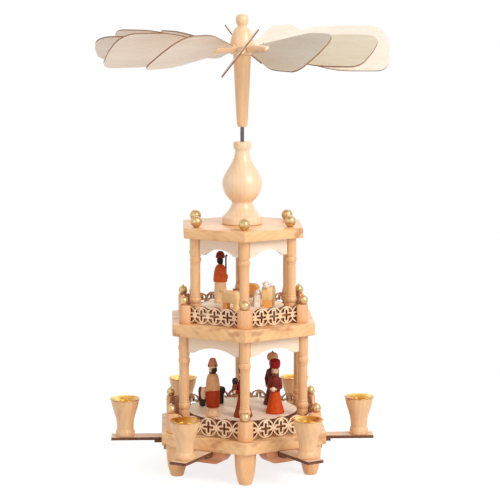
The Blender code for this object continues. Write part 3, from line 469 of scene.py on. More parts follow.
# Painted light: a paler copy of the disc ply for the upper disc.
LIT_UPPER_DISC_PLY = Ply("lit_upper_disc_ply", (255, 246, 224), (255, 232, 202), pore_share=0.25)
ARM_PLY = Ply("arm_ply", (242, 212, 180), (224, 186, 150), pore_share=0.45, pore=(140, 98, 66))
DARK_EDGE = Scorch("dark_edge", (132, 82, 52), (70, 38, 24))
FRET_EDGE = Scorch("fret_edge", (158, 92, 56), (92, 48, 28))
PALE_EDGE = Scorch("pale_edge", (206, 176, 146), (170, 132, 100))
BLADE_EDGE = Scorch("blade_edge", (170, 122, 86), (108, 66, 42), 0.0013)
BRASS = TurnedMetal("spun_brass", (234, 184, 98), (196, 134, 52), 0.23)
BEARING_BRASS = TurnedMetal("bearing_brass", (226, 184, 104), (176, 130, 60), 0.34)
GOLD = GoldPaint("gold_paint", (230, 200, 148), (194, 154, 100))
STEEL = DrawnSteel("drawn_steel", (128, 124, 120), (74, 72, 70))
INK = Paint("ink_black", (22, 18, 18), (36, 30, 28), 0.30)
BLACK = Paint("black_paint", (26, 20, 18), (58, 44, 36), 0.36)
HAIR = Paint("hair_black", (30, 24, 24), (52, 42, 38), 0.38)
BROWN_HAIR = Paint("hair_brown", (112, 64, 40), (142, 90, 58), 0.42)
SADDLE = Paint("saddle_cloth", (226, 180, 146), (206, 154, 120))
FLEECE = Paint("fleece_gold", (255, 220, 162), (250, 200, 136), 0.45)
AMBER = Paint("fleece_amber", (250, 184, 108), (238, 158, 80), 0.45)
WHITE = Paint("face_white", (252, 244, 236), (240, 228, 216), 0.45)
TAN_COAT = Paint("tan_coat", (216, 164, 112), (196, 140, 90))
TAN_HAT = Paint("tan_hat", (208, 134, 96), (184, 108, 74))
RUST_SKIRT = Paint("rust_skirt", (174, 56, 2), (138, 36, 0))
DARK_TRIM = Paint("dark_trim", (92, 52, 36), (66, 36, 26), 0.42)
RED_CAP = Paint("red_cap", (164, 14, 20), (124, 6, 12), 0.45)
MAROON = Paint("maroon_coat", (136, 48, 34), (100, 26, 20))
ORANGE = Paint("orange_skirt", (222, 86, 6), (190, 58, 0))
DARK_MAROON = Paint("dark_maroon", (112, 28, 14), (78, 14, 8))
TURBAN = Paint("turban_pink", (232, 186, 150), (208, 152, 112))
WINE = Paint("wine_robe", (148, 26, 14), (112, 14, 8))
RUST_ROBE = Paint("rust_robe", (160, 60, 26), (126, 38, 14))
CAPE = Paint("cape_orange", (226, 102, 38), (198, 76, 20))
CAP_BROWN = Paint("cap_brown", (142, 46, 20), (108, 28, 10))
BEIGE = Paint("skirt_beige", (255, 220, 176), (246, 200, 148))
CREAM = Paint("gift_cream", (250, 230, 200), (236, 208, 170), 0.45)
JAR_PINK = Paint("jar_pink", (236, 194, 166), (214, 164, 132))
JAR_BROWN = Paint("jar_brown", (132, 66, 40), (100, 42, 24))
STAFF = Paint("crook_dark", (84, 66, 60), (58, 44, 40), 0.45)


@dataclass
class Template:
    """Half section of a turned piece, drawn from the bottom up as (radius, height)."""

    points: list[Point]

    def line(self, *points: Point) -> "Template":
        """Goes on in straight lines."""
        self.points += points
        return self

    def curve(self, *points: Point, steps: int = 6) -> "Template":
        """Goes on in a smooth curve through more points."""
        run = [Vector(self.points[-1])] + [Vector(point) for point in points]
        for index in range(len(run) - 1):
            first = run[max(index - 1, 0)]
            start, end = run[index], run[index + 1]
            last = run[min(index + 2, len(run) - 1)]
            for step in range(1, steps + 1):
                t = step / steps
                place = 0.5 * (2 * start + (end - first) * t
                               + (2 * first - 5 * start + 4 * end - last) * t ** 2
                               + (3 * start - first - 3 * end + last) * t ** 3)
                self.points.append((place.x, place.y))
        return self

    def scaled(self, radius: float, height: float) -> "Template":
        """Turns shares of the widest radius and of the height into metres."""
        self.points = [(across * radius, up * height) for across, up in self.points]
        return self

    def softened(self, reach: float) -> "Template":
        """Rounds the sharp corners, from a reach before each corner to the same reach behind it."""
        steps, longest_share, straight = 3, 0.45, pi - radians(22)
        made = [self.points[0]]
        places = [Vector(point) for point in self.points]
        for last, here, following in zip(places, places[1:], places[2:]):
            before, after = last - here, following - here
            if min(before.length, after.length) < WELD or before.angle(after) > straight:
                made.append(tuple(here))
                continue
            back = min(reach, before.length * longest_share, after.length * longest_share)
            start, end = here + before.normalized() * back, here + after.normalized() * back
            for share in (step / steps for step in range(steps + 1)):
                bend = start * (1 - share) ** 2 + here * 2 * share * (1 - share) + end * share ** 2
                made.append(tuple(bend))
        self.points = [*made, self.points[-1]]
        return self

    def turned(self, steps: int = 56) -> Shape:
        """Spins the section round the Z axis.

        Args:
            steps: The number of steps round the axis.

        Returns:
            The closed shape.
        """
        shape = bmesh.new()
        verts = [shape.verts.new((max(radius, 0.0), 0.0, height)) for radius, height in self.points]
        edges = [shape.edges.new(pair) for pair in zip(verts, verts[1:])]
        if self.points[0][0] > 0:
            edges.append(shape.edges.new((verts[-1], verts[0])))
        bmesh.ops.spin(shape, geom=verts + edges, cent=(0, 0, 0), axis=(0, 0, 1), angle=2 * pi,
                       steps=steps, use_merge=True)
        return shape


def anticlockwise(loop: Sequence[Point]) -> list[Point]:
    """Puts the points of a loop in anticlockwise order."""
    points = list(loop)
    pairs = zip(points, points[1:] + points[:1])
    area = sum(here[0] * there[1] - there[0] * here[1] for here, there in pairs)
    return points if area > 0 else points[::-1]


def cut_board(loops: Sequence[Sequence[Point]], thickness: float, edge_finish: int = 1) -> Shape:
    """Cuts a flat board with its holes, lying in XY and centred on its thickness.

    Args:
        loops: The outline and the holes.
        thickness: The board's thickness.
        edge_finish: The number of the finish on its sawn edges.

    Returns:
        The board.
    """
    points = [Vector(point) for loop in loops for point in anticlockwise(loop)]
    starts = [sum(len(loop) for loop in loops[:number]) for number in range(len(loops))]
    outlines = [list(range(start, start + len(loop))) for start, loop in zip(starts, loops)]
    inside = 1
    places, _, corners, _, _, sources = geometry.delaunay_2d_cdt(points, [], outlines, inside, WELD)
    shape = bmesh.new()
    verts = [shape.verts.new((place.x, place.y, -thickness / 2)) for place in places]
    for triangle, loops_round_it in zip(corners, sources):
        if list(loops_round_it) == [0]:
            shape.faces.new([verts[number] for number in triangle])
    lift(shape, thickness)
    mark_edges(shape, edge_finish)
    return shape


def lift(shape: Shape, thickness: float) -> None:
    """Pulls a flat shape up into a solid."""
    body = bmesh.ops.extrude_face_region(shape, geom=shape.faces[:])
    top = [item for item in body["geom"] if isinstance(item, bmesh.types.BMVert)]
    bmesh.ops.translate(shape, verts=top, vec=(0.0, 0.0, thickness))
    bmesh.ops.recalc_face_normals(shape, faces=shape.faces)


def mark_edges(shape: Shape, finish: int = 1) -> None:
    """Gives the sawn edges of a flat board a finish of their own."""
    shape.normal_update()
    level = 0.7
    for face in shape.faces:
        face.material_index = 0 if abs(face.normal.z) > level else finish


def soften_edges(shape: Shape, radius: float, segments: int = 2) -> None:
    """Rounds the sharp edges of a block with a bevel."""
    blunt = radians(35)
    sharp = [edge for edge in shape.edges if edge.is_manifold and edge.calc_face_angle(0.0) > blunt]
    bmesh.ops.bevel(shape, geom=sharp, offset=radius, offset_type="OFFSET", segments=segments, profile=0.5,
                    affect="EDGES", material=-1, clamp_overlap=True)


def hexagon_board(radius: float, thickness: float, softness: float) -> Shape:
    """A hexagonal board that stands on zero height, with a corner along -Y and softened edges."""
    shape = bmesh.new()
    bmesh.ops.create_circle(shape, cap_ends=True, segments=SIDES, radius=radius)
    first = shape.verts[:][0].co
    turn = Matrix.Rotation(-pi / 2 - atan2(first.y, first.x), 4, "Z")
    bmesh.ops.transform(shape, matrix=turn, verts=shape.verts)
    lift(shape, thickness)
    soften_edges(shape, softness, 3)
    return shape


def new_object(name: str, data: bpy.types.ID) -> bpy.types.Object:
    """Puts a new object in the scene."""
    made = bpy.data.objects.new(name, data)
    bpy.context.scene.collection.objects.link(made)
    return made


def new_piece(name: str, shape: Shape) -> bpy.types.Object:
    """Turns a shape into an object of the scene."""
    mesh = bpy.data.meshes.new(name)
    shape.to_mesh(mesh)
    shape.free()
    return new_object(name, mesh)


def bored(shape: Shape, radius: float) -> Shape:
    """Bores a hole along Z through a board or a turned piece.

    Args:
        shape: The piece.
        radius: The hole's radius.

    Returns:
        The bored piece.
    """
    bit = bmesh.new()
    bmesh.ops.create_cone(bit, cap_ends=True, segments=32, radius1=radius, radius2=radius, depth=2.0)
    blank, cutter = new_piece("blank", shape), new_piece("cutter", bit)
    step = blank.modifiers.new("bore", "BOOLEAN")
    step.operation, step.solver, step.object = "DIFFERENCE", "EXACT", cutter
    made = bmesh.new()
    made.from_mesh(blank.evaluated_get(bpy.context.evaluated_depsgraph_get()).to_mesh())
    for thing in (blank, cutter):
        bpy.data.objects.remove(thing, do_unlink=True)
    return made


def block(size: Sequence[float], centre: Sequence[float], softness: float = 0.0) -> Shape:
    """A block of a size about a centre, with its edges softened."""
    shape = bmesh.new()
    bmesh.ops.create_cube(shape, size=1.0)
    bmesh.ops.scale(shape, verts=shape.verts, vec=size)
    if softness:
        soften_edges(shape, softness)
    bmesh.ops.translate(shape, verts=shape.verts, vec=centre)
    return shape


def ball(radius: float, centre: Sequence[float] = (0.0, 0.0, 0.0),
         stretch: Sequence[float] = (1.0, 1.0, 1.0), steps: int = 24) -> Shape:
    """A ball or an egg about a centre."""
    shape = bmesh.new()
    bmesh.ops.create_uvsphere(shape, u_segments=steps, v_segments=steps // 2, radius=radius)
    bmesh.ops.scale(shape, verts=shape.verts, vec=stretch)
    bmesh.ops.translate(shape, verts=shape.verts, vec=centre)
    return shape


def limb(start: Sequence[float], end: Sequence[float], thick: float, thin: float,
         steps: int = 16) -> Shape:
    """A rounded limb from one place to another.

    Args:
        start: Where it starts.
        end: Where it ends.
        thick: Its radius at the start.
        thin: Its radius at the end.
        steps: The number of steps round it.

    Returns:
        The limb.
    """
    line = Vector(end) - Vector(start)
    length = line.length
    section = Template([(0.0, -thick)]).curve((thick * 0.8, -thick * 0.55), (thick, 0.0), steps=3)
    section.line((thin, length)).curve((thin * 0.8, length + thin * 0.55), (0.0, length + thin), steps=3)
    shape = section.turned(steps)
    place = Matrix.Translation(start) @ line.to_track_quat("Z", "Y").to_matrix().to_4x4()
    bmesh.ops.transform(shape, matrix=place, verts=shape.verts)
    return shape


def banded(shape: Shape, *tops: float) -> Shape:
    """Paints a turned piece in level bands: finish 0 up to the first height, 1 to the next, and so on."""
    for face in shape.faces:
        height = face.calc_center_median().z
        face.material_index = sum(height > top for top in tops)
    return shape


def polar(radius: float, angle: float, height: float = 0.0) -> Vector:
    """Place at a radius and an angle about the axle."""
    return Vector((radius * cos(angle), radius * sin(angle), height))


def corner(index: int) -> float:
    """Angle of a tower corner. Corner 0 is the front one."""
    return -pi / 2 + index * 2 * pi / SIDES


def side(index: int) -> float:
    """Angle of the middle of a tower side."""
    return corner(index) + pi / SIDES


def side_frame(index: int, radius: float, height: float) -> Matrix:
    """Frame of one side of the tower: X runs along the side, Y up and Z outwards."""
    angle = side(index)
    axes = Matrix(((-sin(angle), 0.0, cos(angle)), (cos(angle), 0.0, sin(angle)), (0.0, 1.0, 0.0)))
    return Matrix.Translation(polar(radius, angle, height)) @ axes.to_4x4()


def upright(radius: float, angle: float, height: float) -> Matrix:
    """Frame of a piece that stands at a radius and an angle, with its X axis outwards."""
    return Matrix.Translation(polar(radius, angle, height)) @ Matrix.Rotation(angle, 4, "Z")


def raised(height: float) -> Matrix:
    """Frame of a piece that stands on the axle's line at a height."""
    return Matrix.Translation((0.0, 0.0, height))


def cut_from(name: str) -> Vector:
    """Picks the place in the plank that a piece is cut from, by its name, so that no two look the same."""
    places, columns, rows = 97, 7, 5
    number = sum(ord(letter) * (spot + 3) for spot, letter in enumerate(name)) % places
    across = 0.021 + 0.0031 * (number % columns)
    through = 0.013 + 0.0043 * (number % rows)
    along = 0.061 * number
    return Vector((across, through, along))


@dataclass
class SubAssembly:
    """A sub-assembly, which knows the body it turns with and keeps its finished pieces."""

    body: str
    pieces: list[bpy.types.Object] = field(default_factory=list, kw_only=True)

    def fit(self, name: str, shape: Shape, place: Matrix, finishes: Sequence[Finish],
            grain: Grain = Grain.UPRIGHT, node: str = "", slot: str = "", body: str = "") -> None:
        """Finishes one piece and puts it in its place on the carousel.

        Args:
            name: The piece's name.
            shape: Its shape as it lies on the bench.
            place: Where it goes.
            finishes: Its finishes, by their number on the faces.
            grain: The way its grain runs on the bench.
            node: The solid that it stands for, where it stands for one.
            slot: The record's material slot; not used.
            body: The body it rides on, where it isn't the sub-assembly's own.
        """
        bmesh.ops.remove_doubles(shape, verts=shape.verts, dist=WELD)
        bmesh.ops.recalc_face_normals(shape, faces=shape.faces)
        layer = shape.verts.layers.float_vector.new("grain")
        start = cut_from(name)
        for vert in shape.verts:
            vert[layer] = grain.of(vert.co) + start
        bmesh.ops.transform(shape, matrix=place, verts=shape.verts)
        piece = new_piece(name, shape)
        mesh = piece.data
        mesh.shade_smooth()
        mesh.set_sharp_from_angle(angle=SMOOTH_ANGLE)
        for finish in finishes:
            mesh.materials.append(finish.material())
        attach(piece, body or self.body)
        if node:
            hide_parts(node)
        self.pieces.append(piece)
        LOG.info("%s: %d faces", name, len(mesh.polygons))


@dataclass
class Base(SubAssembly):
    """Base plate with its turned feet, the brackets under its sides and the tongues in their notches."""

    radius: float = 0.0938
    bottom: float = 0.0322
    thickness: float = 0.0119
    softness: float = 0.0008
    foot_circle: float = 0.0765
    foot_radius: float = 0.0107
    bracket_circle: float = 0.0720
    bracket_depth: float = 0.0150
    bracket_height: float = 0.0124
    bracket_top: float = 0.0451
    bracket_foot: float = 0.0190
    notch_width: float = 0.0182
    notch_height: float = 0.0036
    tongue_reach: float = 0.0887
    tongue_thickness: float = 0.0021

    def build(self) -> None:
        """Builds the plate and everything under it."""
        plate = hexagon_board(self.radius, self.thickness, self.softness)
        self.fit("base_board", plate, raised(self.bottom), [BOARD], Grain.LENGTHWISE, "base_plate",
                 "pale_wood")
        for index in range(SIDES):
            self.build_foot(index)
            self.build_bracket(index)

    def build_foot(self, index: int) -> None:
        """Turns one foot."""
        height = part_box(f"foot_{index + 1}")[1].z
        section = Template([(0.0, 0.0), (0.46, 0.0)]).curve(
            (0.56, 0.012), (0.62, 0.05), (0.72, 0.15), (0.83, 0.30), (0.91, 0.48), (0.96, 0.68),
            (1.0, 1.0))
        shape = section.line((0.0, 1.0)).scaled(self.foot_radius, height).turned(48)
        self.fit(f"foot_turned_{index + 1}", shape, upright(self.foot_circle, corner(index), 0.0),
                 [FOOT_WOOD], node=f"foot_{index + 1}", slot="pale_wood")

    def bracket_outline(self) -> list[Point]:
        """Draws a bracket with its notch and its hollow flanks."""
        half_top, half_foot, half_notch = self.bracket_top / 2, self.bracket_foot / 2, self.notch_width / 2
        right = [(half_notch, -self.notch_height), (half_notch, SEAT), (half_top, SEAT),
                 (half_top, -0.0004)]
        steps = 14
        for step in range(1, steps + 1):
            turn = pi / 2 * step / steps
            right.append((half_foot + (half_top - half_foot) * cos(turn),
                          -self.bracket_height * sin(turn)))
        return right + [(-across, up) for across, up in reversed(right)]

    def build_bracket(self, index: int) -> None:
        """Saws one bracket and the tongue that lies in it."""
        bracket = cut_board([self.bracket_outline()], self.bracket_depth, edge_finish=0)
        soften_edges(bracket, FINE_EDGE, 1)
        place = side_frame(index, self.bracket_circle, self.bottom)
        # The bracket wood is darker partly for painted shade under the plate.
        self.fit(f"bracket_{index + 1}", bracket, place, [BRACKET_WOOD_AND_SHADE], Grain.LENGTHWISE,
                 slot="pale_wood")
        start = self.bracket_circle - self.bracket_depth / 4
        size = (self.tongue_reach - start, self.notch_width - 2 * SEAT, self.tongue_thickness)
        top = self.bottom - self.notch_height
        tongue = block(size, (start + size[0] / 2, 0.0, top - size[2] / 2))
        mark_edges(tongue)
        self.fit(f"tongue_{index + 1}", tongue, Matrix.Rotation(side(index), 4, "Z"), [ARM_PLY, DARK_EDGE],
                 Grain.LENGTHWISE, slot="pale_wood")


@dataclass
class CandleArm(SubAssembly):
    """One candle arm: a flat slat, the turned cup glued on it and the brass socket in the cup."""

    number: int
    root: float = 0.0600
    reach: float = 0.1320
    width: float = 0.0176
    thickness: float = 0.0030
    circle: float = 0.1180
    cup_radius: float = 0.0143
    lip: float = 0.0009
    recess_depth: float = 0.0195
    dish_depth: float = 0.0032
    candle_radius: float = 0.0070
    socket_depth: float = 0.0150
    rim_radius: float = 0.0151
    wall: float = 0.0007

    def build(self) -> None:
        """Builds the arm, the cup and the socket."""
        turn = Matrix.Rotation(side(self.number - 1), 4, "Z")
        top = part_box(f"foot_{self.number}")[1].z
        size = (self.reach - self.root, self.width, self.thickness)
        slat = block(size, ((self.reach + self.root) / 2, 0.0, top - self.thickness / 2))
        mark_edges(slat)
        self.fit(f"arm_slat_{self.number}", slat, turn, [ARM_PLY, DARK_EDGE], Grain.LENGTHWISE,
                 f"candle_arm_{self.number}", "pale_wood")
        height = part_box(f"candle_arm_{self.number}")[1].z - top
        stand = turn @ Matrix.Translation((self.circle, 0.0, top))
        self.fit(f"arm_cup_{self.number}", self.cup(height), stand, [CUP_WOOD], slot="pale_wood")
        self.fit(f"socket_spun_{self.number}", self.socket(), stand @ raised(height + SEAT), [BRASS],
                 node=f"candle_socket_{self.number}", slot="brass")

    def cup(self, height: float) -> Shape:
        """Turns the flared cup with its recess for the socket."""
        section = Template([(0.0, 0.0), (0.585, 0.0)]).curve(
            (0.640, 0.025), (0.668, 0.075), (0.655, 0.13), (0.605, 0.175), (0.575, 0.205), steps=4)
        section.line((0.572, 0.222), (0.585, 0.228))
        section.curve((0.598, 0.33), (0.635, 0.45), (0.75, 0.62), (0.90, 0.80), (0.985, 0.955),
                      (1.0, 0.985), steps=5)
        section.curve((0.99, 0.997), (0.965, 1.0), steps=2)
        section.scaled(self.cup_radius, height)
        mouth = self.cup_radius - self.lip
        tube = self.candle_radius + self.wall + SEAT
        section.line((mouth, height), (tube, height - self.dish_depth - SEAT),
                     (tube, height - self.recess_depth), (0.0, height - self.recess_depth))
        return section.turned(64)

    def socket(self) -> Shape:
        """Spins the brass socket: a tube with a dished rim and a rolled lip."""
        tube, rim, inner = self.candle_radius + self.wall, self.rim_radius, self.candle_radius
        floor = -self.dish_depth - self.socket_depth
        section = Template([(0.0, floor - self.wall), (tube, floor - self.wall), (tube, -self.dish_depth)])
        section.curve((0.0100, -0.0021), (0.0134, 0.0), steps=4)
        section.curve((rim - 0.0003, 0.00005), (rim, 0.00035), (rim - 0.0003, 0.0007), (0.0142, 0.0006),
                      steps=3)
        section.curve((0.0134, 0.0004), (0.0110, -0.0006), (0.0088, -0.0018), (inner + 0.0002, -0.0027),
                      steps=4)
        section.curve((inner, -0.0033), steps=2).line((inner, floor), (0.0, floor))
        return section.turned(64)


@dataclass
class Columns(SubAssembly):
    """The six turned columns of one storey."""

    storey: str
    circle: float
    block_height: float
    bulge_height: float
    block_radius: float = 0.0052
    bulge_radius: float = 0.0057
    shaft_radius: float = 0.0046
    groove: float = 0.0008
    lip: float = 0.0012
    lip_reach: float = 0.0004
    fillet: float = 0.0007

    def build(self) -> None:
        """Turns the six columns."""
        for index in range(SIDES):
            node = f"{self.storey}_column_{index + 1}"
            low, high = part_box(node)
            self.fit(f"{self.storey}_column_turned_{index + 1}", self.shape(high.z - low.z),
                     upright(self.circle, corner(index), low.z), [COLUMN_WOOD], node=node,
                     slot="column_wood")

    def shape(self, length: float) -> Shape:
        """Turns one column of a length, the same at both ends."""
        wide, shaft, bulge = self.block_radius, self.shaft_radius, self.bulge_radius
        top, neck = self.block_height, self.block_height + self.groove
        end = neck + self.bulge_height
        half = Template([(wide - 0.0002, 0.0), (wide, 0.0002), (wide, top - 0.0002), (wide - 0.0002, top),
                         (shaft + 0.0001, top + 0.0001), (shaft, neck)])
        half.curve((bulge - 0.0002, neck + self.bulge_height * 0.25),
                   (bulge, neck + self.bulge_height * 0.5),
                   (bulge - 0.0002, neck + self.bulge_height * 0.75), (shaft, end), steps=4)
        half.line((shaft, end + 0.0003), (shaft + self.lip_reach, end + 0.0005),
                  (shaft + self.lip_reach, end + self.lip), (shaft, end + self.lip + self.fillet))
        middle = (shaft + 0.00015, length / 2)
        upper = [(radius, length - height) for radius, height in reversed(half.points)]
        return Template([(0.0, 0.0), *half.points, middle, *upper, (0.0, length)]).turned(40)


@dataclass
class Deck(SubAssembly):
    """A hexagonal plate with the six arch boards under it."""

    node: str
    radius: float
    bottom: float
    thickness: float
    arch_circle: float
    drop: float
    crown: float
    ball_circle: float = 0.0
    ball_radius: float = 0.00565
    arch_thickness: float = 0.0030
    arch_flat: float = 0.0055
    column_radius: float = 0.0052
    hole_radius: float = 0.0025
    softness: float = 0.0008

    def build(self) -> None:
        """Builds the plate, its arches and the balls on its corners."""
        plate = bored(hexagon_board(self.radius, self.thickness, self.softness), self.hole_radius)
        self.fit(f"{self.node}_board", plate, raised(self.bottom), [BOARD], Grain.LENGTHWISE, self.node,
                 "pale_wood")
        for index in range(SIDES):
            arch = cut_board([self.arch_outline()], self.arch_thickness)
            place = side_frame(index, self.arch_circle * cos(pi / SIDES), self.bottom)
            self.fit(f"{self.node}_arch_{index + 1}", arch, place, [ARCH_PLY, PALE_EDGE], Grain.LENGTHWISE,
                     slot="ply")
            if self.ball_circle:
                self.build_ball(index)

    def arch_outline(self) -> list[Point]:
        """Draws one arch board, hanging from zero height."""
        half = self.arch_circle * sin(pi / SIDES) - self.column_radius - SEAT
        span = half - self.arch_flat
        rise = self.drop - self.crown
        radius = (span ** 2 + rise ** 2) / (2 * rise)
        spread = pi / 2 - acos(span / radius)
        outline = [(half, -self.drop), (half, 0.0), (-half, 0.0), (-half, -self.drop)]
        steps = 28
        for step in range(steps + 1):
            turn = -spread + 2 * spread * step / steps
            outline.append((radius * sin(turn), radius * cos(turn) - radius - self.crown))
        return outline

    def build_ball(self, index: int) -> None:
        """Sets one gold ball on a corner of the plate, with a small flat where it is glued."""
        section = Template([(0.0, 0.0), (0.36, 0.0)]).curve(
            (0.74, 0.33), (0.97, 0.78), (1.0, 1.0), (0.94, 1.34), (0.71, 1.70), (0.38, 1.925), (0.0, 2.0),
            steps=5)
        shape = section.scaled(self.ball_radius, self.ball_radius).turned(32)
        place = upright(self.ball_circle, corner(index), self.bottom + self.thickness)
        self.fit(f"roof_ball_{index + 1}", shape, place, [GOLD], slot="pale_wood")


@dataclass
class Fence(SubAssembly):
    """The fence of one storey: fretwork panels between half-round posts, each with a gold finial."""

    storey: str
    circle: float
    ring_radius: float
    ring_pitch: float
    floor: float
    post_radius: float = 0.0076
    inset: float = 0.0025
    end_cut: float = 0.0009
    thickness: float = 0.0030
    band_share: float = 0.150
    slot_share: float = 0.125
    slot_reach_share: float = 0.61
    lobe_share: float = 0.300
    least_hole: float = 0.0008
    least_leaf_share: float = 0.02
    panel_gap: float = 0.0001
    post_rise: float = 0.0005
    finial_radius: float = 0.0045

    def build(self) -> None:
        """Builds the six sides and corners."""
        corner_radius = self.circle + self.inset
        half = corner_radius * sin(pi / SIDES)
        apothem = corner_radius * cos(pi / SIDES) - self.thickness / 2
        shown = half - self.post_radius * cos(pi / SIDES)
        height = 2 * self.ring_radius + self.post_rise
        loops = self.panel_loops(half - self.end_cut, shown)
        for index in range(SIDES):
            panel = cut_board(loops, self.thickness)
            place = side_frame(index, apothem, self.floor + self.panel_gap)
            self.fit(f"{self.storey}_panel_{index + 1}", panel, place, [FRET_PLY, FRET_EDGE],
                     Grain.LENGTHWISE, f"{self.storey}_fence" if index == 0 else "", "ply")
            self.build_post(index, height)

    def build_post(self, index: int, height: float) -> None:
        """Builds one half-round post and the finial on it."""
        steps = 20
        turns = [-pi / 2 + pi * step / steps for step in range(steps + 1)]
        outline = [(self.post_radius * cos(turn), self.post_radius * sin(turn)) for turn in turns]
        post = cut_board([outline], height, edge_finish=0)
        bmesh.ops.translate(post, verts=post.verts, vec=(0.0, 0.0, height / 2))
        soften_edges(post, FINE_EDGE)
        self.fit(f"{self.storey}_post_{index + 1}", post, upright(self.circle, corner(index), self.floor),
                 [POST_WOOD], slot="pale_wood")
        section = Template([(0.0, 0.0), (0.50, 0.0)]).curve(
            (0.78, 0.20), (0.97, 0.62), (1.0, 0.92), (0.93, 1.28), (0.70, 1.66), (0.42, 1.88),
            (0.24, 1.98), (0.19, 2.08), (0.15, 2.19), (0.0, 2.24), steps=4)
        shape = section.scaled(self.finial_radius, self.finial_radius).turned(32)
        centroid = self.post_radius * 4 / (3 * pi)
        place = upright(self.circle + centroid, corner(index), self.floor + height)
        self.fit(f"{self.storey}_finial_{index + 1}", shape, place, [GOLD], slot="pale_wood")

    def panel_loops(self, half: float, shown: float) -> list[list[Point]]:
        """Draws a panel: a chain of rings, cut square at its ends, with its crosses and leaf holes.

        Args:
            half: Half the panel's length.
            shown: Half the length that shows between the posts.

        Returns:
            The outline and the holes.
        """
        radius, pitch = self.ring_radius, self.ring_pitch
        last = int((half + radius) // pitch)
        centres = [index * pitch for index in range(-last, last + 1)]
        cusp = acos(pitch / (2 * radius))
        stations = [-half]
        steps = 14
        for centre in centres:
            for step in range(steps + 1):
                turn = cusp + (pi - 2 * cusp) * (1 - step / steps)
                along = centre + radius * cos(turn)
                if stations[-1] + WELD < along < half - WELD:
                    stations.append(along)
        stations.append(half)
        heights = []
        for along in stations:
            offset = along - round(along / pitch) * pitch
            heights.append(sqrt(radius ** 2 - offset ** 2))
        lower = [(along, radius - height) for along, height in zip(stations, heights)]
        upper = [(along, radius + height) for along, height in zip(stations, heights)]
        loops = [lower + upper[::-1]]
        for centre in centres:
            for hole in [self.cross_hole(), *self.leaf_holes()]:
                hole = self.clipped([(x + centre, y + radius) for x, y in hole], shown)
                if len(hole) > 2 and max(hole)[0] - min(hole)[0] > self.least_hole:
                    loops.append(hole)
        return loops

    def cross_hole(self) -> list[Point]:
        """Draws the cross with its round ends in the middle of a ring."""
        half = self.ring_radius * self.slot_share
        centre = self.ring_radius * self.slot_reach_share - half
        loop = []
        steps = 8
        for quarter in range(4):
            turn = Matrix.Rotation(quarter * pi / 2, 2)
            arm = [(half, half)]
            for step in range(steps + 1):
                bend = pi * step / steps
                arm.append((half * cos(bend), centre + half * sin(bend)))
            loop += [tuple(turn @ Vector(place)) for place in arm]
        return loop

    def leaf_holes(self) -> list[list[Point]]:
        """Draws the four leaf-shaped holes between the ring and the lobes round the cross."""
        radius = self.ring_radius
        inner = radius * (1 - self.band_share)
        lobe = radius * self.lobe_share
        centre = inner - lobe
        steps = 48
        edge, rim = [], []
        for step in range(1, steps):
            turn = pi / 2 * step / steps
            low = min(turn, pi / 2 - turn)
            near = lobe / sin(low)
            if near * cos(low) > centre:
                near = centre * cos(low) + sqrt(lobe ** 2 - (centre * sin(low)) ** 2)
            far = inner
            if self.ring_pitch * sin(turn) < radius:
                reach = sqrt(radius ** 2 - (self.ring_pitch * sin(turn)) ** 2)
                far = min(far, self.ring_pitch * cos(turn) - reach)
            if far - near > self.least_leaf_share * radius:
                edge.append((near * cos(turn), near * sin(turn)))
                rim.append((far * cos(turn), far * sin(turn)))
        leaf = rim + edge[::-1]
        return [leaf, [(-x, y) for x, y in leaf][::-1], [(-x, -y) for x, y in leaf],
                [(x, -y) for x, y in leaf][::-1]]

    @staticmethod
    def clipped(hole: list[Point], limit: float) -> list[Point]:
        """Keeps the part of a hole between the posts, which stand at plus and minus the limit."""
        for way in (-1, 1):
            kept = []
            for start, end in zip(hole, hole[1:] + hole[:1]):
                if way * start[0] <= limit:
                    kept.append(start)
                if (way * start[0] <= limit) != (way * end[0] <= limit):
                    share = (way * limit - start[0]) / (end[0] - start[0])
                    kept.append((way * limit, start[1] + share * (end[1] - start[1])))
            hole = kept
        return hole


@dataclass
class OnionDome(SubAssembly):
    """The turned onion dome on the roof plate."""

    radius: float = 0.0201
    hole_radius: float = 0.0025

    def build(self) -> None:
        """Turns and bores the dome."""
        low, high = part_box("onion_dome")
        section = Template([(0.0, 0.0), (0.97, 0.0), (1.0, 0.008), (1.0, 0.078)])
        section.curve((0.985, 0.088), (0.94, 0.096), steps=3).line((0.92, 0.101))
        section.curve((0.84, 0.118), (0.72, 0.152), (0.60, 0.195), (0.535, 0.235), (0.515, 0.258),
                      (0.54, 0.275), (0.60, 0.290), (0.70, 0.312), (0.82, 0.350), (0.92, 0.400),
                      (0.975, 0.455), (0.985, 0.505), (0.94, 0.560), (0.84, 0.610), (0.70, 0.668),
                      (0.55, 0.728), (0.44, 0.785), (0.38, 0.840), (0.350, 0.893), steps=4)
        section.line((0.350, 0.899)).curve((0.402, 0.904), (0.434, 0.922), (0.443, 0.950), (0.434, 0.978),
                                           (0.402, 0.996), steps=3).line((0.0, 1.0))
        shape = section.scaled(self.radius, high.z - low.z).turned(72)
        self.fit("onion_dome_turned", bored(shape, self.hole_radius), raised(low.z), [DOME_WOOD],
                 node="onion_dome", slot="varnished_wood")


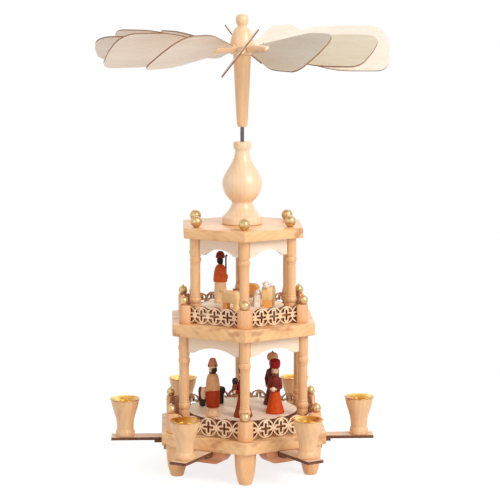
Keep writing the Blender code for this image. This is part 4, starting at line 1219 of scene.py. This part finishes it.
@dataclass
class Drive(SubAssembly):
    """What turns the figures: the axle in its bearing, the sleeve and the hub."""

    axle_radius: float = 0.0019
    sleeve_radius: float = 0.00885
    hub_radius: float = 0.0123
    bore_share: float = 0.69
    bearing_radius: float = 0.0060
    pit_floor: float = 0.0016

    def build(self) -> None:
        """Builds the bearing, axle, sleeve and hub."""
        self.build_bearing()
        self.build_axle()
        self.build_sleeve()
        self.build_hub()

    def build_bearing(self) -> None:
        """Turns the cup in which the axle's point runs."""
        low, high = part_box("bearing_cup")
        height, radius, floor = high.z - low.z, self.bearing_radius, self.pit_floor
        section = Template([(0.0, 0.0), (radius - 0.0002, 0.0), (radius, 0.0003), (radius, height - 0.0006)])
        section.curve((radius - 0.0002, height - 0.0001), (radius - 0.0006, height), steps=3)
        section.line((0.0031, height), (0.0006, floor), (0.0, floor))
        self.fit("bearing_turned", section.turned(40), raised(low.z), [BEARING_BRASS], node="bearing_cup",
                 slot="brass", body=Body.STAND.value)

    def build_axle(self) -> None:
        """Grinds the pointed axle."""
        low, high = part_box("axle")
        length, radius = high.z - low.z, self.axle_radius
        section = Template([(0.0, 0.0)]).curve((0.0003, 0.0001), (0.0006, 0.0006), steps=3)
        section.line((radius, 0.0030), (radius, length - 0.0002), (radius - 0.0002, length), (0.0, length))
        self.fit("axle_rod", section.turned(32), raised(low.z), [STEEL], node="axle", slot="steel")

    def build_sleeve(self) -> None:
        """Turns the tapering sleeve, bored from below for the axle."""
        low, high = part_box("hub_sleeve")
        bore, depth = (self.axle_radius + SEAT) / self.sleeve_radius, self.bore_share
        section = Template([(0.0, depth), (bore, depth), (bore, 0.0), (0.40, 0.0)])
        section.curve((0.50, 0.010), (0.575, 0.030), (0.615, 0.070), (0.655, 0.15), (0.72, 0.30),
                      (0.80, 0.48), (0.90, 0.74), (0.985, 0.955), (1.0, 0.985), steps=4)
        section.line((0.985, 1.0), (0.0, 1.0)).scaled(self.sleeve_radius, high.z - low.z)
        shape = section.turned(56)
        self.fit("sleeve_turned", shape, raised(low.z), [SLEEVE_WOOD], node="hub_sleeve",
                 slot="column_wood")

    def build_hub(self) -> None:
        """Turns the bell of the hub with the ball on top of it."""
        low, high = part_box("hub")
        section = Template([(0.0, 0.0), (0.90, 0.0)]).curve(
            (0.97, 0.012), (1.0, 0.045), (1.0, 0.13), (0.985, 0.22), (0.95, 0.31), (0.885, 0.41),
            (0.79, 0.51), (0.66, 0.595), (0.55, 0.64), steps=4)
        section.line((0.50, 0.655), (0.40, 0.672))
        section.curve((0.37, 0.69), (0.385, 0.715), (0.445, 0.75), (0.50, 0.80), (0.515, 0.845),
                      (0.49, 0.90), (0.41, 0.955), (0.25, 0.988), (0.0, 1.0), steps=4)
        shape = section.scaled(self.hub_radius, high.z - low.z).turned(64)
        self.fit("hub_turned", shape, raised(low.z), [HUB_WOOD], node="hub", slot="varnished_wood")


@dataclass
class Blade(SubAssembly):
    """One blade of the wheel: a thin flared board glued in the slot of its turned peg."""

    number: int
    pitch: float
    level: float = 0.4203
    turn: float = radians(-93)
    step: float = radians(30)
    root: float = 0.0262
    tip: float = 0.1450
    shoulder: float = 0.0940
    root_width: float = 0.0120
    width: float = 0.0550
    upper_corner: float = 0.0190
    lower_corner: float = 0.0120
    easing: float = 0.0120
    bulge: float = 0.0012
    flare: float = 0.0034
    flare_end: float = 0.0007
    thickness: float = 0.0013
    peg_radius: float = 0.0038
    peg_start: float = 0.0078
    peg_end: float = 0.0515

    def build(self) -> None:
        """Cuts the blade and turns its peg."""
        angle = self.turn + (self.number - 1) * self.step
        place = raised(self.level) @ Matrix.Rotation(angle, 4, "Z") @ Matrix.Rotation(self.pitch, 4, "X")
        board = cut_board([self.outline()], self.thickness)
        # Blades 2 and 3 take darker copies of the ply: painted shade.
        ply = SHADED_BLADE_SHEETS.get(self.number, BLADE_PLY)
        self.fit(f"blade_board_{self.number}", board, place, [ply, BLADE_EDGE], Grain.LENGTHWISE,
                 f"blade_{self.number}", "blade_ply")
        lying = Matrix.Rotation(pi / 2, 4, "Y")
        self.fit(f"blade_peg_{self.number}", self.peg(), place @ lying, [HUB_WOOD], slot="varnished_wood")

    def outline(self) -> list[Point]:
        """Draws the blade with X outwards from the axle and Y up across it."""
        half, steps = self.width / 2, 12
        edges = []
        for way, bend in ((1, self.upper_corner), (-1, self.lower_corner)):
            centre = Vector((self.tip - self.bulge - bend, half - bend))
            edge = [(self.root, self.root_width / 2), (self.shoulder - self.easing, half - self.flare),
                    (self.shoulder, half - self.flare_end), (self.shoulder + self.easing, half)]
            for step in range(steps + 1):
                turn = pi / 2 * (1 - step / steps)
                edge.append((centre.x + bend * cos(turn), centre.y + bend * sin(turn)))
            edges.append([(x, way * y) for x, y in edge])
        return edges[0] + [(self.tip, 0.0)] + edges[1][::-1]

    def peg(self) -> Shape:
        """Turns the peg, standing on the axle's line: tenon, neck and body with a round end."""
        r, end = self.peg_radius, self.peg_end
        section = Template([(0.0, self.peg_start), (0.0010, self.peg_start), (0.0010, 0.0126),
                            (0.0021, 0.0126)])
        section.curve((0.0023, 0.0134), (0.0027, 0.0150), (0.0033, 0.0166), (r, 0.0182), steps=4)
        section.line((r, end - 0.0030))
        section.curve((0.92 * r, end - 0.0015), (0.70 * r, end - 0.0006), (0.0, end), steps=4)
        return section.turned(28)


@dataclass(frozen=True)
class DiscPlan:
    """A turning disc: its storey, its size, its height on the axle and the ply finish of its face, paler on
    the upper disc for painted light.
    """

    storey: str
    radius: float
    top: float
    ply: Finish

    def spot(self, share: float, degrees: float, turned_out: float, gap: float = SEAT) -> Matrix:
        """Works out where something stands on the disc and the way it faces.

        Args:
            share: How far out it stands, as a share of the disc's radius.
            degrees: How far round it stands from the front.
            turned_out: How far it is turned from the way round, in degrees.
            gap: The gap under it.

        Returns:
            Its frame, with X the way it faces.
        """
        angle = corner(0) + radians(degrees)
        heading = Matrix.Rotation(angle - pi / 2 + radians(turned_out), 4, "Z")
        return Matrix.Translation(polar(self.radius * share, angle, self.top + gap)) @ heading


LOWER_DISC = DiscPlan("lower", 0.0549, 0.0584, DISC_PLY)
# The upper disc takes the paler copy of the ply: painted light.
UPPER_DISC = DiscPlan("upper", 0.0416, 0.1647, LIT_UPPER_DISC_PLY)


@dataclass
class Disc(SubAssembly):
    """A turning disc for figures, on a collar that grips the axle."""

    plan: DiscPlan
    thickness: float = 0.0030
    bore: float = 0.0022
    collar_radius: float = 0.0060
    collar_height: float = 0.0040
    collar_edge: float = 0.0004

    def build(self) -> None:
        """Cuts the disc and turns its collar."""
        storey, place, under = self.plan.storey, raised(self.plan.top), -self.thickness
        section = [(self.bore, 0.0), (self.bore, under), (self.plan.radius, under),
                   (self.plan.radius, 0.0)]
        disc = Template(section).turned(96)
        mark_edges(disc)
        self.fit(f"{storey}_disc_cut", disc, place, [self.plan.ply, DARK_EDGE], Grain.LENGTHWISE,
                 f"{storey}_disc", "grey_ply")
        low, wide, edge = under - self.collar_height, self.collar_radius, self.collar_edge
        section = [(self.bore, low), (wide - edge, low), (wide, low + edge), (wide, under),
                   (self.bore, under)]
        self.fit(f"{storey}_collar", Template(section).turned(40), place, [POST_WOOD], slot="grey_ply")


@dataclass(frozen=True)
class Dress:
    """The paints of one figure, and what it wears and carries."""

    skirt: Finish
    coat: Finish
    hat: Finish
    hair: Finish
    held: Finish


@dataclass
class Figure(SubAssembly):
    """A turned and painted figure that faces along +X on its bench."""

    name: str
    slot: str
    disc: DiscPlan
    share: float
    degrees: float
    height: float
    dress: Dress
    turned_out: float = 0.0
    arm_radius: float = 0.0019
    fist_share: float = 0.88
    shoulder_share: float = 0.62

    def put(self, part: str, shape: Shape, *finishes: Finish) -> None:
        """Fits one part of the figure. Its body stands for the solid."""
        place = self.disc.spot(self.share, self.degrees, self.turned_out)
        node = f"{self.name}_figure" if part == "body" else ""
        self.fit(f"{self.name}_{part}", shape, place, finishes, node=node, slot=self.slot)

    def spin(self, part: str, section: Template, steps: int, *finishes: Finish, tops: Sequence[float] = (),
             out: float = 0.0, up: float = 0.0) -> None:
        """Turns one part and fits it. All its measures are shares of the figure's height.

        Args:
            part: The part's name.
            section: Its section.
            steps: The number of steps round it.
            *finishes: Its finishes from the bottom up.
            tops: The heights at which one finish ends and the next starts.
            out: How far in front it stands.
            up: How high it is lifted.
        """
        h = self.height
        shape = banded(section.scaled(h, h).turned(steps), *(h * top for top in tops))
        bmesh.ops.translate(shape, verts=shape.verts, vec=(h * out, 0.0, h * up))
        self.put(part, shape, *finishes)

    def head(self, centre: float, radius: float, hair: float, beard: float) -> None:
        """Builds the head. All its measures are shares of the figure's height.

        Args:
            centre: The height of its middle.
            radius: Its radius.
            hair: How far the hair reaches below its middle.
            beard: How far the beard drops.
        """
        centre, radius = self.height * centre, self.height * radius
        self.face(centre, radius)
        self.hair(centre, radius, self.height * hair)
        self.beard(centre, radius, self.height * beard)

    def face(self, centre: float, radius: float) -> None:
        """Turns the ball of the head, with a small nose and two plain dots for eyes."""
        self.put("head", ball(radius, (0.0, 0.0, centre), (1.0, 0.96, 1.12), 28), SKIN_WOOD)
        nose = (radius * 0.98, 0.0, centre - radius * 0.02)
        self.put("nose", ball(radius * 0.17, nose, (1.0, 0.9, 1.3), 10), SKIN_WOOD)
        eye_turn = radians(24)
        for way, label in LEFT_AND_RIGHT:
            turn = way * eye_turn
            spot = (radius * 0.955 * cos(turn), radius * 0.93 * sin(turn), centre + radius * 0.22)
            self.put(f"eye_{label}", ball(radius * 0.14, spot, (0.6, 1.0, 1.1), 10), INK)

    def hair(self, centre: float, radius: float, reach: float) -> None:
        """Covers the back of the head down to a reach below its middle."""
        shape = ball(radius * 1.07, (-radius * 0.16, 0.0, centre), (1.0, 1.0, 1.15), 28)
        brow, nape = (radius * 0.18, 0.0, centre), (0.0, 0.0, centre - reach)
        for spot, way in ((brow, (1.0, 0.0, 0.12)), (nape, (0.0, 0.0, -1.0))):
            bmesh.ops.bisect_plane(shape, geom=shape.verts[:] + shape.edges[:] + shape.faces[:],
                                   plane_co=spot, plane_no=way, clear_outer=True)
        bmesh.ops.holes_fill(shape, edges=shape.edges)
        self.put("hair", shape, self.dress.hair)

    def beard(self, centre: float, radius: float, drop: float) -> None:
        """Hangs a short beard from the chin."""
        spot = (radius * 0.52, 0.0, centre - radius * 0.66 - drop / 3)
        shape = ball(radius * 0.58, spot, (0.85, 1.15, 0.9 + drop / radius * 0.35), 18)
        self.put("beard", shape, self.dress.hair)

    def arms(self, out: float, aside: float, up: float) -> None:
        """Builds two bent arms that meet in front. The hands' places are shares of the figure's height.

        Args:
            out: How far in front the hands are.
            aside: How far each hand is from the middle.
            up: How high they are.
        """
        h, thick, sleeve = self.height, self.arm_radius, self.dress.coat
        hand = Vector((h * out, h * aside, h * up))
        shoulder_aside, elbow_aside, elbow_out, elbow_drop = 0.082, 0.112, 0.030, 0.145
        wrist_out, wrist_aside = 0.86, 0.010
        for way, label in LEFT_AND_RIGHT:
            shoulder = (0.0, way * h * shoulder_aside, h * self.shoulder_share)
            elbow = (h * elbow_out, way * h * elbow_aside, h * (self.shoulder_share - elbow_drop))
            wrist = (hand.x * wrist_out, way * (hand.y + h * wrist_aside), hand.z)
            self.put(f"upper_arm_{label}", limb(shoulder, elbow, thick * 1.05, thick), sleeve)
            self.put(f"forearm_{label}", limb(elbow, wrist, thick, thick * 0.95), sleeve)
            fist = ball(thick * self.fist_share, (hand.x, way * hand.y, hand.z), steps=14)
            self.put(f"hand_{label}", fist, SKIN_WOOD)


@dataclass
class King(Figure):
    """The king: a foot ring, a skirt, a bell of a coat and a conical hat with four points on its brim."""

    def build(self) -> None:
        """Builds the king, who holds a jar."""
        h, dress = self.height, self.dress
        body = Template([(0.0, 0.0), (0.116, 0.0)]).curve(
            (0.123, 0.010), (0.117, 0.042), (0.098, 0.085), (0.088, 0.118), (0.090, 0.150), steps=4)
        body.line((0.112, 0.153), (0.115, 0.165)).curve((0.1175, 0.30), (0.120, 0.440), steps=3)
        body.line((0.1215, 0.448), (0.1215, 0.462)).curve(
            (0.118, 0.53), (0.110, 0.60), (0.098, 0.665), (0.080, 0.705), steps=4)
        body.curve((0.060, 0.722), (0.044, 0.728), steps=2).line((0.040, 0.745), (0.0, 0.745))
        self.spin("body", body, 40, CUP_WOOD, dress.skirt, dress.coat, tops=(0.1515, 0.446))
        collar = Template([(0.030, 0.724), (0.047, 0.724)]).curve((0.051, 0.730), (0.047, 0.737), steps=3)
        self.spin("collar", collar.line((0.030, 0.737)), 32, DARK_TRIM)
        self.head(0.790, 0.062, hair=0.058, beard=0.012)
        band = Template([(0.040, 0.826), (0.068, 0.826), (0.070, 0.830), (0.071, 0.852), (0.040, 0.852)])
        self.spin("hat_band", band, 32, GOLD)
        hat = Template([(0.0, 0.850), (0.080, 0.850), (0.085, 0.858)])
        hat.curve((0.076, 0.900), (0.061, 0.945), (0.048, 0.975), steps=3)
        hat.curve((0.040, 0.985), (0.0, 0.987), steps=3)
        self.spin("hat", hat, 32, dress.hat)
        for index in range(4):
            spot = polar(h * 0.087, pi / 4 + index * pi / 2, h * 0.866)
            self.put(f"hat_point_{index + 1}", ball(h * 0.0135, spot, (1.0, 1.0, 1.6), 12), DARK_TRIM)
        self.arms(out=0.125, aside=0.046, up=0.445)
        jar = Template([(0.0, 0.0), (0.034, 0.0)]).curve(
            (0.046, 0.040), (0.050, 0.100), (0.042, 0.150), (0.034, 0.170), steps=4)
        jar.line((0.040, 0.177), (0.040, 0.195), (0.0, 0.200))
        self.spin("jar", jar, 24, dress.held, out=0.156, up=0.285)


@dataclass
class Bearer(Figure):
    """A figure in a bell-shaped robe that holds out a gift: a ball, or a jar with a black lid."""

    hat_section: Sequence[Point] = ()
    ball_radius: float = 0.0025
    reach_share: float = 0.145
    hand_share: float = 0.455
    fist_share: float = 0.66
    tip: bool = False
    jar: bool = False

    def build(self) -> None:
        """Builds the figure with its gift."""
        h, dress, out = self.height, self.dress, self.reach_share
        body = Template([(0.0, 0.0), (0.158, 0.0)]).curve(
            (0.168, 0.006), (0.170, 0.022), (0.156, 0.075), (0.136, 0.15), (0.116, 0.235), (0.099, 0.32),
            (0.089, 0.392), steps=4)
        body.line((0.093, 0.398), (0.094, 0.406)).curve(
            (0.100, 0.46), (0.102, 0.52), (0.098, 0.58), (0.084, 0.64), (0.062, 0.675), (0.048, 0.685),
            steps=4)
        self.spin("body", body.line((0.042, 0.705), (0.0, 0.705)), 44, dress.skirt, dress.coat,
                  tops=(0.395,))
        self.head(0.765, 0.066, hair=0.062, beard=0.014)
        edge, *crown = self.hat_section
        self.spin("hat", Template([(0.0, edge[1]), edge]).curve(*crown, steps=5), 36, dress.hat)
        if self.tip:
            self.put("hat_tip",
                     limb((0.0, 0.0, h * 0.965), (0.0, 0.0, h * 0.992), h * 0.024, h * 0.010, 14), INK)
        if not self.jar:
            self.arms(out, self.ball_radius / h, self.hand_share)
            gift = ball(self.ball_radius, (h * out, 0.0, h * self.hand_share), steps=22)
            self.put("gift", gift, dress.held)
            return
        self.arms(out, 0.066, self.hand_share)
        jar = Template([(0.0, 0.0), (0.036, 0.0)]).curve(
            (0.052, 0.040), (0.056, 0.100), (0.046, 0.165), (0.040, 0.190), steps=4)
        jar.curve((0.052, 0.215), (0.052, 0.260), (0.036, 0.290), (0.0, 0.305), steps=4)
        self.spin("gift", jar, 28, dress.held, BLACK, tops=(0.190,), out=out, up=0.405)


@dataclass
class Shepherd(Figure):
    """The shepherd in a cape and a faceted hat, with a crook in one hand."""

    crook_radius: float = 0.0008

    def build(self) -> None:
        """Builds the shepherd with the crook."""
        dress = self.dress
        body = Template([(0.0, 0.0), (0.118, 0.0), (0.123, 0.008)]).curve(
            (0.119, 0.20), (0.112, 0.400), steps=4)
        body.line((0.130, 0.402), (0.136, 0.412)).curve(
            (0.134, 0.47), (0.128, 0.545), (0.112, 0.63), (0.086, 0.70), (0.058, 0.728), (0.046, 0.733),
            steps=4)
        self.spin("body", body.line((0.040, 0.75), (0.0, 0.75)), 44, dress.skirt, dress.coat,
                  tops=(0.401,))
        self.head(0.812, 0.060, hair=0.066, beard=0.016)
        hat = Template([(0.0, 0.862), (0.086, 0.862), (0.090, 0.872), (0.090, 0.905), (0.074, 0.950),
                        (0.056, 0.985), (0.040, 0.995), (0.0, 0.995)])
        self.spin("hat", hat.softened(0.006), 8, dress.hat)
        out, aside = 0.140, 0.050
        self.arms(out, aside, up=0.50)
        self.put("crook", self.crook(Vector((self.height * out, self.height * aside))), dress.held)

    def crook(self, hand: Vector) -> Shape:
        """Bends the crook: a staff with a hooked top, in the right hand."""
        foot, staff, bend = self.height * 0.42, self.height * 0.46, self.height * 0.020
        within, staff_steps, hook_steps = 0.90, 8, 9
        start = Matrix.Translation((hand.x * within, -hand.y * within, foot))
        shape = bmesh.new()
        made = bmesh.ops.create_circle(shape, cap_ends=True, segments=12, radius=self.crook_radius,
                                       matrix=start)
        face = made["verts"][0].link_faces[0]
        path = [Vector((0.0, 0.0, staff * step / staff_steps)) for step in range(1, staff_steps + 1)]
        path += [Vector((bend - bend * cos(turn), 0.0, staff + bend * sin(turn)))
                 for turn in (pi * step / hook_steps for step in range(1, hook_steps + 1))]
        here, heading = Vector((0.0, 0.0, 0.0)), Vector((0.0, 0.0, 1.0))
        for place in path:
            ring = bmesh.ops.extrude_discrete_faces(shape, faces=[face])
            face = ring["faces"][0]
            verts = face.verts[:]
            way = (place - here).normalized()
            centre = face.calc_center_median()
            turn = heading.rotation_difference(way).to_matrix().to_4x4()
            bmesh.ops.translate(shape, verts=verts, vec=place - here)
            about = Matrix.Translation(-(centre + place - here))
            bmesh.ops.transform(shape, matrix=about.inverted() @ turn @ about, verts=verts)
            here, heading = place, way
        return shape


@dataclass(frozen=True)
class Sheep:
    """One sheep: where it stands on the disc, its size, how high it holds its head, and its colours."""

    share: float
    degrees: float
    turned_out: float
    size: float
    raised: float
    fleece: Finish
    face: Finish


FLOCK = (Sheep(0.69, -25.0, -5.0, 1.0, 0.86, FLEECE, FLEECE),
         Sheep(0.67, 67.0, 8.0, 1.14, 1.02, FLEECE, WHITE),
         Sheep(0.427, 57.7, 28.3, 0.80, 0.98, WHITE, WHITE),
         Sheep(0.60, 160.0, 180.0, 1.0, 0.92, AMBER, AMBER))


@dataclass
class Animals(SubAssembly):
    """The flock on the upper disc and the dark animal on the lower one, carved from slices of wood."""

    sheep_length: float = 0.0198
    sheep_width_share: float = 0.46
    sheep_softness: float = 0.0014
    leg_softness: float = 0.0006
    dark_length: float = 0.0280
    dark_width_share: float = 0.26
    dark_softness: float = 0.0009
    cloth_overhang: float = 0.0010
    cloth_softness: float = 0.0006

    def build(self) -> None:
        """Carves all the animals."""
        for number, sheep in enumerate(FLOCK, 1):
            self.build_sheep(number, sheep)
        self.build_dark(LOWER_DISC.spot(0.66, -122.2, -27.0))

    def carved(self, shares: Sequence[Point], length: float, width: float, softness: float) -> Shape:
        """Cuts a slice from its side view, stands it up and rounds its edges."""
        shape = cut_board([[(length * along, length * up) for along, up in shares]], width, edge_finish=0)
        bmesh.ops.dissolve_limit(shape, angle_limit=radians(1), verts=shape.verts, edges=shape.edges)
        soften_edges(shape, softness, 3)
        bmesh.ops.transform(shape, matrix=Matrix.Rotation(pi / 2, 4, "X"), verts=shape.verts)
        return shape

    def build_sheep(self, number: int, sheep: Sheep) -> None:
        """Carves one sheep: its body, then its legs, head, ears and eyes."""
        length = self.sheep_length * sheep.size
        width = length * self.sheep_width_share
        place = UPPER_DISC.spot(sheep.share, sheep.degrees, sheep.turned_out, gap=0.0)
        body = self.carved(((-0.47, 0.30), (0.38, 0.30), (0.46, 0.50), (0.44, 0.82), (0.30, 0.92),
                            (-0.32, 0.90), (-0.48, 0.76)), length, width, self.sheep_softness)
        self.fit(f"sheep_{number}_body", body, place, [sheep.fleece], Grain.LENGTHWISE, slot="grey_ply")
        foreleg = sheep.fleece if sheep.fleece is WHITE else AMBER
        size = (length * 0.23, width * 0.92, length * 0.40)
        parts = []
        for label, along, finish in (("hind", -0.33, sheep.fleece), ("fore", 0.26, foreleg)):
            leg = block(size, (length * along, 0.0, length * 0.20), self.leg_softness)
            parts.append((f"{label}_leg", leg, finish))
        head = ball(length * 0.155, (length * 0.46, 0.0, length * sheep.raised), (1.30, 1.0, 1.05), 20)
        parts.append(("head", head, sheep.face))
        for way, label in LEFT_AND_RIGHT:
            ear = (length * 0.38, way * length * 0.16, length * (sheep.raised + 0.05))
            eye = (length * 0.545, way * length * 0.112, length * (sheep.raised + 0.04))
            parts.append((f"ear_{label}", ball(length * 0.055, ear, (0.8, 1.3, 0.5), 10), sheep.face))
            parts.append((f"eye_{label}", ball(length * 0.036, eye, steps=8), INK))
        for label, shape, finish in parts:
            self.fit(f"sheep_{number}_{label}", shape, place, [finish], slot="grey_ply")

    def build_dark(self, place: Matrix) -> None:
        """Carves the dark animal with the pale cloth over its back."""
        length = self.dark_length
        width = length * self.dark_width_share
        shape = self.carved(((-0.46, 0.0), (-0.32, 0.0), (-0.31, 0.16), (-0.25, 0.27), (-0.10, 0.31),
                             (0.16, 0.31), (0.27, 0.26), (0.31, 0.16), (0.33, 0.0), (0.46, 0.0),
                             (0.46, 0.20), (0.45, 0.34), (0.50, 0.38), (0.53, 0.46), (0.53, 0.56),
                             (0.49, 0.62), (0.41, 0.64), (0.34, 0.60), (0.24, 0.58), (0.10, 0.60),
                             (-0.02, 0.63), (-0.18, 0.63), (-0.30, 0.64), (-0.36, 0.69), (-0.43, 0.70),
                             (-0.48, 0.66), (-0.50, 0.54), (-0.48, 0.34), (-0.46, 0.20)),
                            length, width, self.dark_softness)
        self.fit("dark_animal_carved", shape, place, [BLACK], Grain.LENGTHWISE, "dark_animal",
                 "black_paint")
        cloth = self.carved(((-0.22, 0.34), (0.18, 0.34), (0.18, 0.60), (0.10, 0.625), (-0.02, 0.655),
                             (-0.20, 0.655)), length, width + self.cloth_overhang, self.cloth_softness)
        self.fit("dark_animal_cloth", cloth, place, [SADDLE], Grain.LENGTHWISE, slot="black_paint")


KING_DRESS = Dress(RUST_SKIRT, TAN_COAT, TAN_HAT, HAIR, JAR_PINK)
HOOD_DRESS = Dress(RUST_ROBE, WINE, HAIR, HAIR, JAR_BROWN)
CAP_DRESS = Dress(ORANGE, MAROON, RED_CAP, BROWN_HAIR, CREAM)
TURBAN_DRESS = Dress(DARK_MAROON, DARK_MAROON, TURBAN, HAIR, CREAM)
SHEPHERD_DRESS = Dress(BEIGE, CAPE, CAP_BROWN, HAIR, STAFF)

HOOD_SECTION = ((0.070, 0.800), (0.082, 0.835), (0.080, 0.89), (0.060, 0.94), (0.030, 0.970), (0.0, 0.985))
CAP_SECTION = ((0.079, 0.826), (0.090, 0.850), (0.097, 0.895), (0.096, 0.940), (0.083, 0.970),
               (0.051, 0.990), (0.0, 0.996))
TURBAN_SECTION = ((0.080, 0.822), (0.098, 0.845), (0.105, 0.885), (0.096, 0.925), (0.070, 0.955),
                  (0.034, 0.970), (0.0, 0.974))

WHITE_LIGHT = (1.0, 1.0, 1.0, 1.0)


@dataclass
class Studio:
    """The white room: floor, world, soft lamps and the camera at the viewer's place."""

    azimuth: float = radians(2.354)
    elevation: float = radians(7.943)
    distance: float = 2.0153
    focal_pixels: float = 2021.1
    frame_pixels: float = 500.0
    target_height: float = 0.2199
    target_aside: float = 0.0077
    room: float = 0.58
    floor_tone: float = 0.82
    shadow_tone: float = 0.35
    near_glow: float = 0.80
    floor_half: float = 6.0
    floor_gap: float = 0.0002
    shadow_fades: Point = (0.30, 0.60)

    def build(self) -> None:
        """Builds the room and points the camera."""
        self.build_floor()
        self.build_world()
        self.add_lamp("key", (1.05, -1.15, 1.15), power=20.0, size=0.9)
        self.add_lamp("fill", (-1.30, -1.10, 0.75), power=3.0, size=1.2)
        self.add_lamp("back", (0.20, 1.40, 1.20), power=4.0, size=1.0)
        self.build_camera()

    def build_floor(self) -> None:
        """Lays the pale floor, which keeps the carousel's shadow near its feet and is white beyond."""
        shape = bmesh.new()
        bmesh.ops.create_grid(shape, x_segments=1, y_segments=1, size=self.floor_half)
        floor = new_piece("floor", shape)
        floor.location = (0.0, 0.0, -self.floor_gap)
        bench = Bench(bpy.data.materials.new("studio_floor"))
        shader = bench.nodes["Principled BSDF"]
        shader.inputs["Base Color"].default_value = (*[self.floor_tone] * 3, 1.0)
        shader.inputs["Roughness"].default_value = 0.9
        lit = bench.add("ShaderNodeBsdfDiffuse", {"Color": (*[self.shadow_tone] * 3, 1.0)})
        glow = bench.add("ShaderNodeEmission", {"Color": WHITE_LIGHT, "Strength": self.near_glow})
        near = bench.add("ShaderNodeAddShader", {0: lit.outputs[0], 1: glow.outputs[0]})
        far = bench.add("ShaderNodeEmission", {"Color": WHITE_LIGHT, "Strength": 1.0})
        place = bench.add("ShaderNodeTexCoord").outputs["Object"]
        away = bench.add("ShaderNodeVectorMath", {0: place}, operation="LENGTH").outputs["Value"]
        fade = bench.spread(away, *self.shadow_fades)
        shown = bench.add("ShaderNodeMixShader", {0: fade, 1: near.outputs[0], 2: far.outputs[0]})
        bench.show_room("Material Output", shader.outputs[0], shown.outputs[0])
        floor.data.materials.append(bench.owner)

    def build_world(self) -> None:
        """Gives the room white walls that light the carousel softly."""
        world = bpy.data.worlds.new("studio")
        bpy.context.scene.world = world
        bench = Bench(world)
        light = bench.nodes["Background"]
        light.inputs["Color"].default_value = WHITE_LIGHT
        light.inputs["Strength"].default_value = self.room
        wall = bench.add("ShaderNodeBackground", {"Color": WHITE_LIGHT, "Strength": 1.0})
        bench.show_room("World Output", light.outputs[0], wall.outputs[0])

    def add_lamp(self, name: str, place: Sequence[float], power: float, size: float) -> None:
        """Hangs one soft square lamp that points at the carousel's middle."""
        lamp = bpy.data.lights.new(name, "AREA")
        lamp.shape, lamp.size, lamp.energy = "SQUARE", size, power
        holder = new_object(name, lamp)
        holder.location = place
        aim = Vector((0.0, 0.0, self.target_height)) - Vector(place)
        holder.rotation_euler = aim.to_track_quat("-Z", "Y").to_euler()

    def build_camera(self) -> None:
        """Sets the camera where the viewer stood."""
        data = bpy.data.cameras.new("camera")
        data.sensor_width = 36.0
        data.lens = self.focal_pixels / self.frame_pixels * data.sensor_width
        camera = new_object("camera", data)
        forward = Vector((sin(self.azimuth) * cos(self.elevation), cos(self.azimuth) * cos(self.elevation),
                          -sin(self.elevation)))
        right = Vector((cos(self.azimuth), -sin(self.azimuth), 0.0))
        target = Vector((0.0, 0.0, self.target_height)) + right * self.target_aside
        camera.location = target - forward * self.distance
        camera.rotation_euler = forward.to_track_quat("-Z", "Y").to_euler()
        bpy.context.scene.camera = camera


def figures(rotor: str) -> list[SubAssembly]:
    """Lists the figures and the animals, which ride on the rotor."""
    return [King(rotor, "king", "king_paint", LOWER_DISC, share=0.80, degrees=-44.0, height=0.0587,
                 dress=KING_DRESS, turned_out=34.0),
            Bearer(rotor, "hooded", "wine_paint", LOWER_DISC, share=0.66, degrees=-1.0, height=0.0550,
                   dress=HOOD_DRESS, hat_section=HOOD_SECTION, jar=True, fist_share=1.1),
            Bearer(rotor, "red_cap", "orange_paint", LOWER_DISC, share=0.685, degrees=58.0, height=0.0550,
                   dress=CAP_DRESS, hat_section=CAP_SECTION, turned_out=17.0),
            Bearer(rotor, "turban", "maroon_paint", LOWER_DISC, share=0.683, degrees=122.8, height=0.0550,
                   dress=TURBAN_DRESS, hat_section=TURBAN_SECTION, turned_out=-57.0, tip=True,
                   hand_share=0.365),
            Shepherd(rotor, "shepherd", "cape_paint", UPPER_DISC, share=0.64, degrees=-126.0,
                     height=0.0520, dress=SHEPHERD_DRESS), Animals(rotor),]


def main() -> None:
    """Builds the sub-assemblies from the floor up and reports each."""
    logging.basicConfig(level=logging.INFO, format="%(message)s")
    bpy.context.scene.view_settings.view_transform = "Standard"
    stand, rotor = Body.STAND.value, Body.ROTOR.value
    parts: list[SubAssembly] = [
        Base(stand),
        *(CandleArm(stand, number) for number in range(1, SIDES + 1)),
        Columns(stand, "lower", circle=LOWER_CIRCLE, block_height=0.0206, bulge_height=0.0072),
        Columns(stand, "upper", circle=UPPER_CIRCLE, block_height=0.0178, bulge_height=0.0060),
        Deck(stand, "middle_plate", radius=0.0810, bottom=0.1403, thickness=0.0120, arch_circle=LOWER_CIRCLE,
             drop=0.0165, crown=0.0104),
        Deck(stand, "roof_plate", radius=0.0676, bottom=0.2362, thickness=0.0101, arch_circle=UPPER_CIRCLE,
             drop=0.0165, crown=0.0100, ball_circle=0.0533),
        Fence(stand, "lower", circle=0.0796, ring_radius=0.00935, ring_pitch=0.0177, floor=0.0444),
        Fence(stand, "upper", circle=0.0648, ring_radius=0.0087, ring_pitch=0.0145, floor=0.1526),
        OnionDome(stand),
        Drive(rotor),
        *(Blade(f"blade_{number}", number, radians(pitch)) for number, pitch in enumerate(BLADE_PITCHES, 1)),
        Disc(rotor, LOWER_DISC),
        Disc(rotor, UPPER_DISC),
        *figures(rotor),
    ]
    for part in parts:
        part.build()
        LOG.info("%s: %d pieces", type(part).__name__, len(part.pieces))
    Studio().build()


if __name__ == "__main__":
    main()
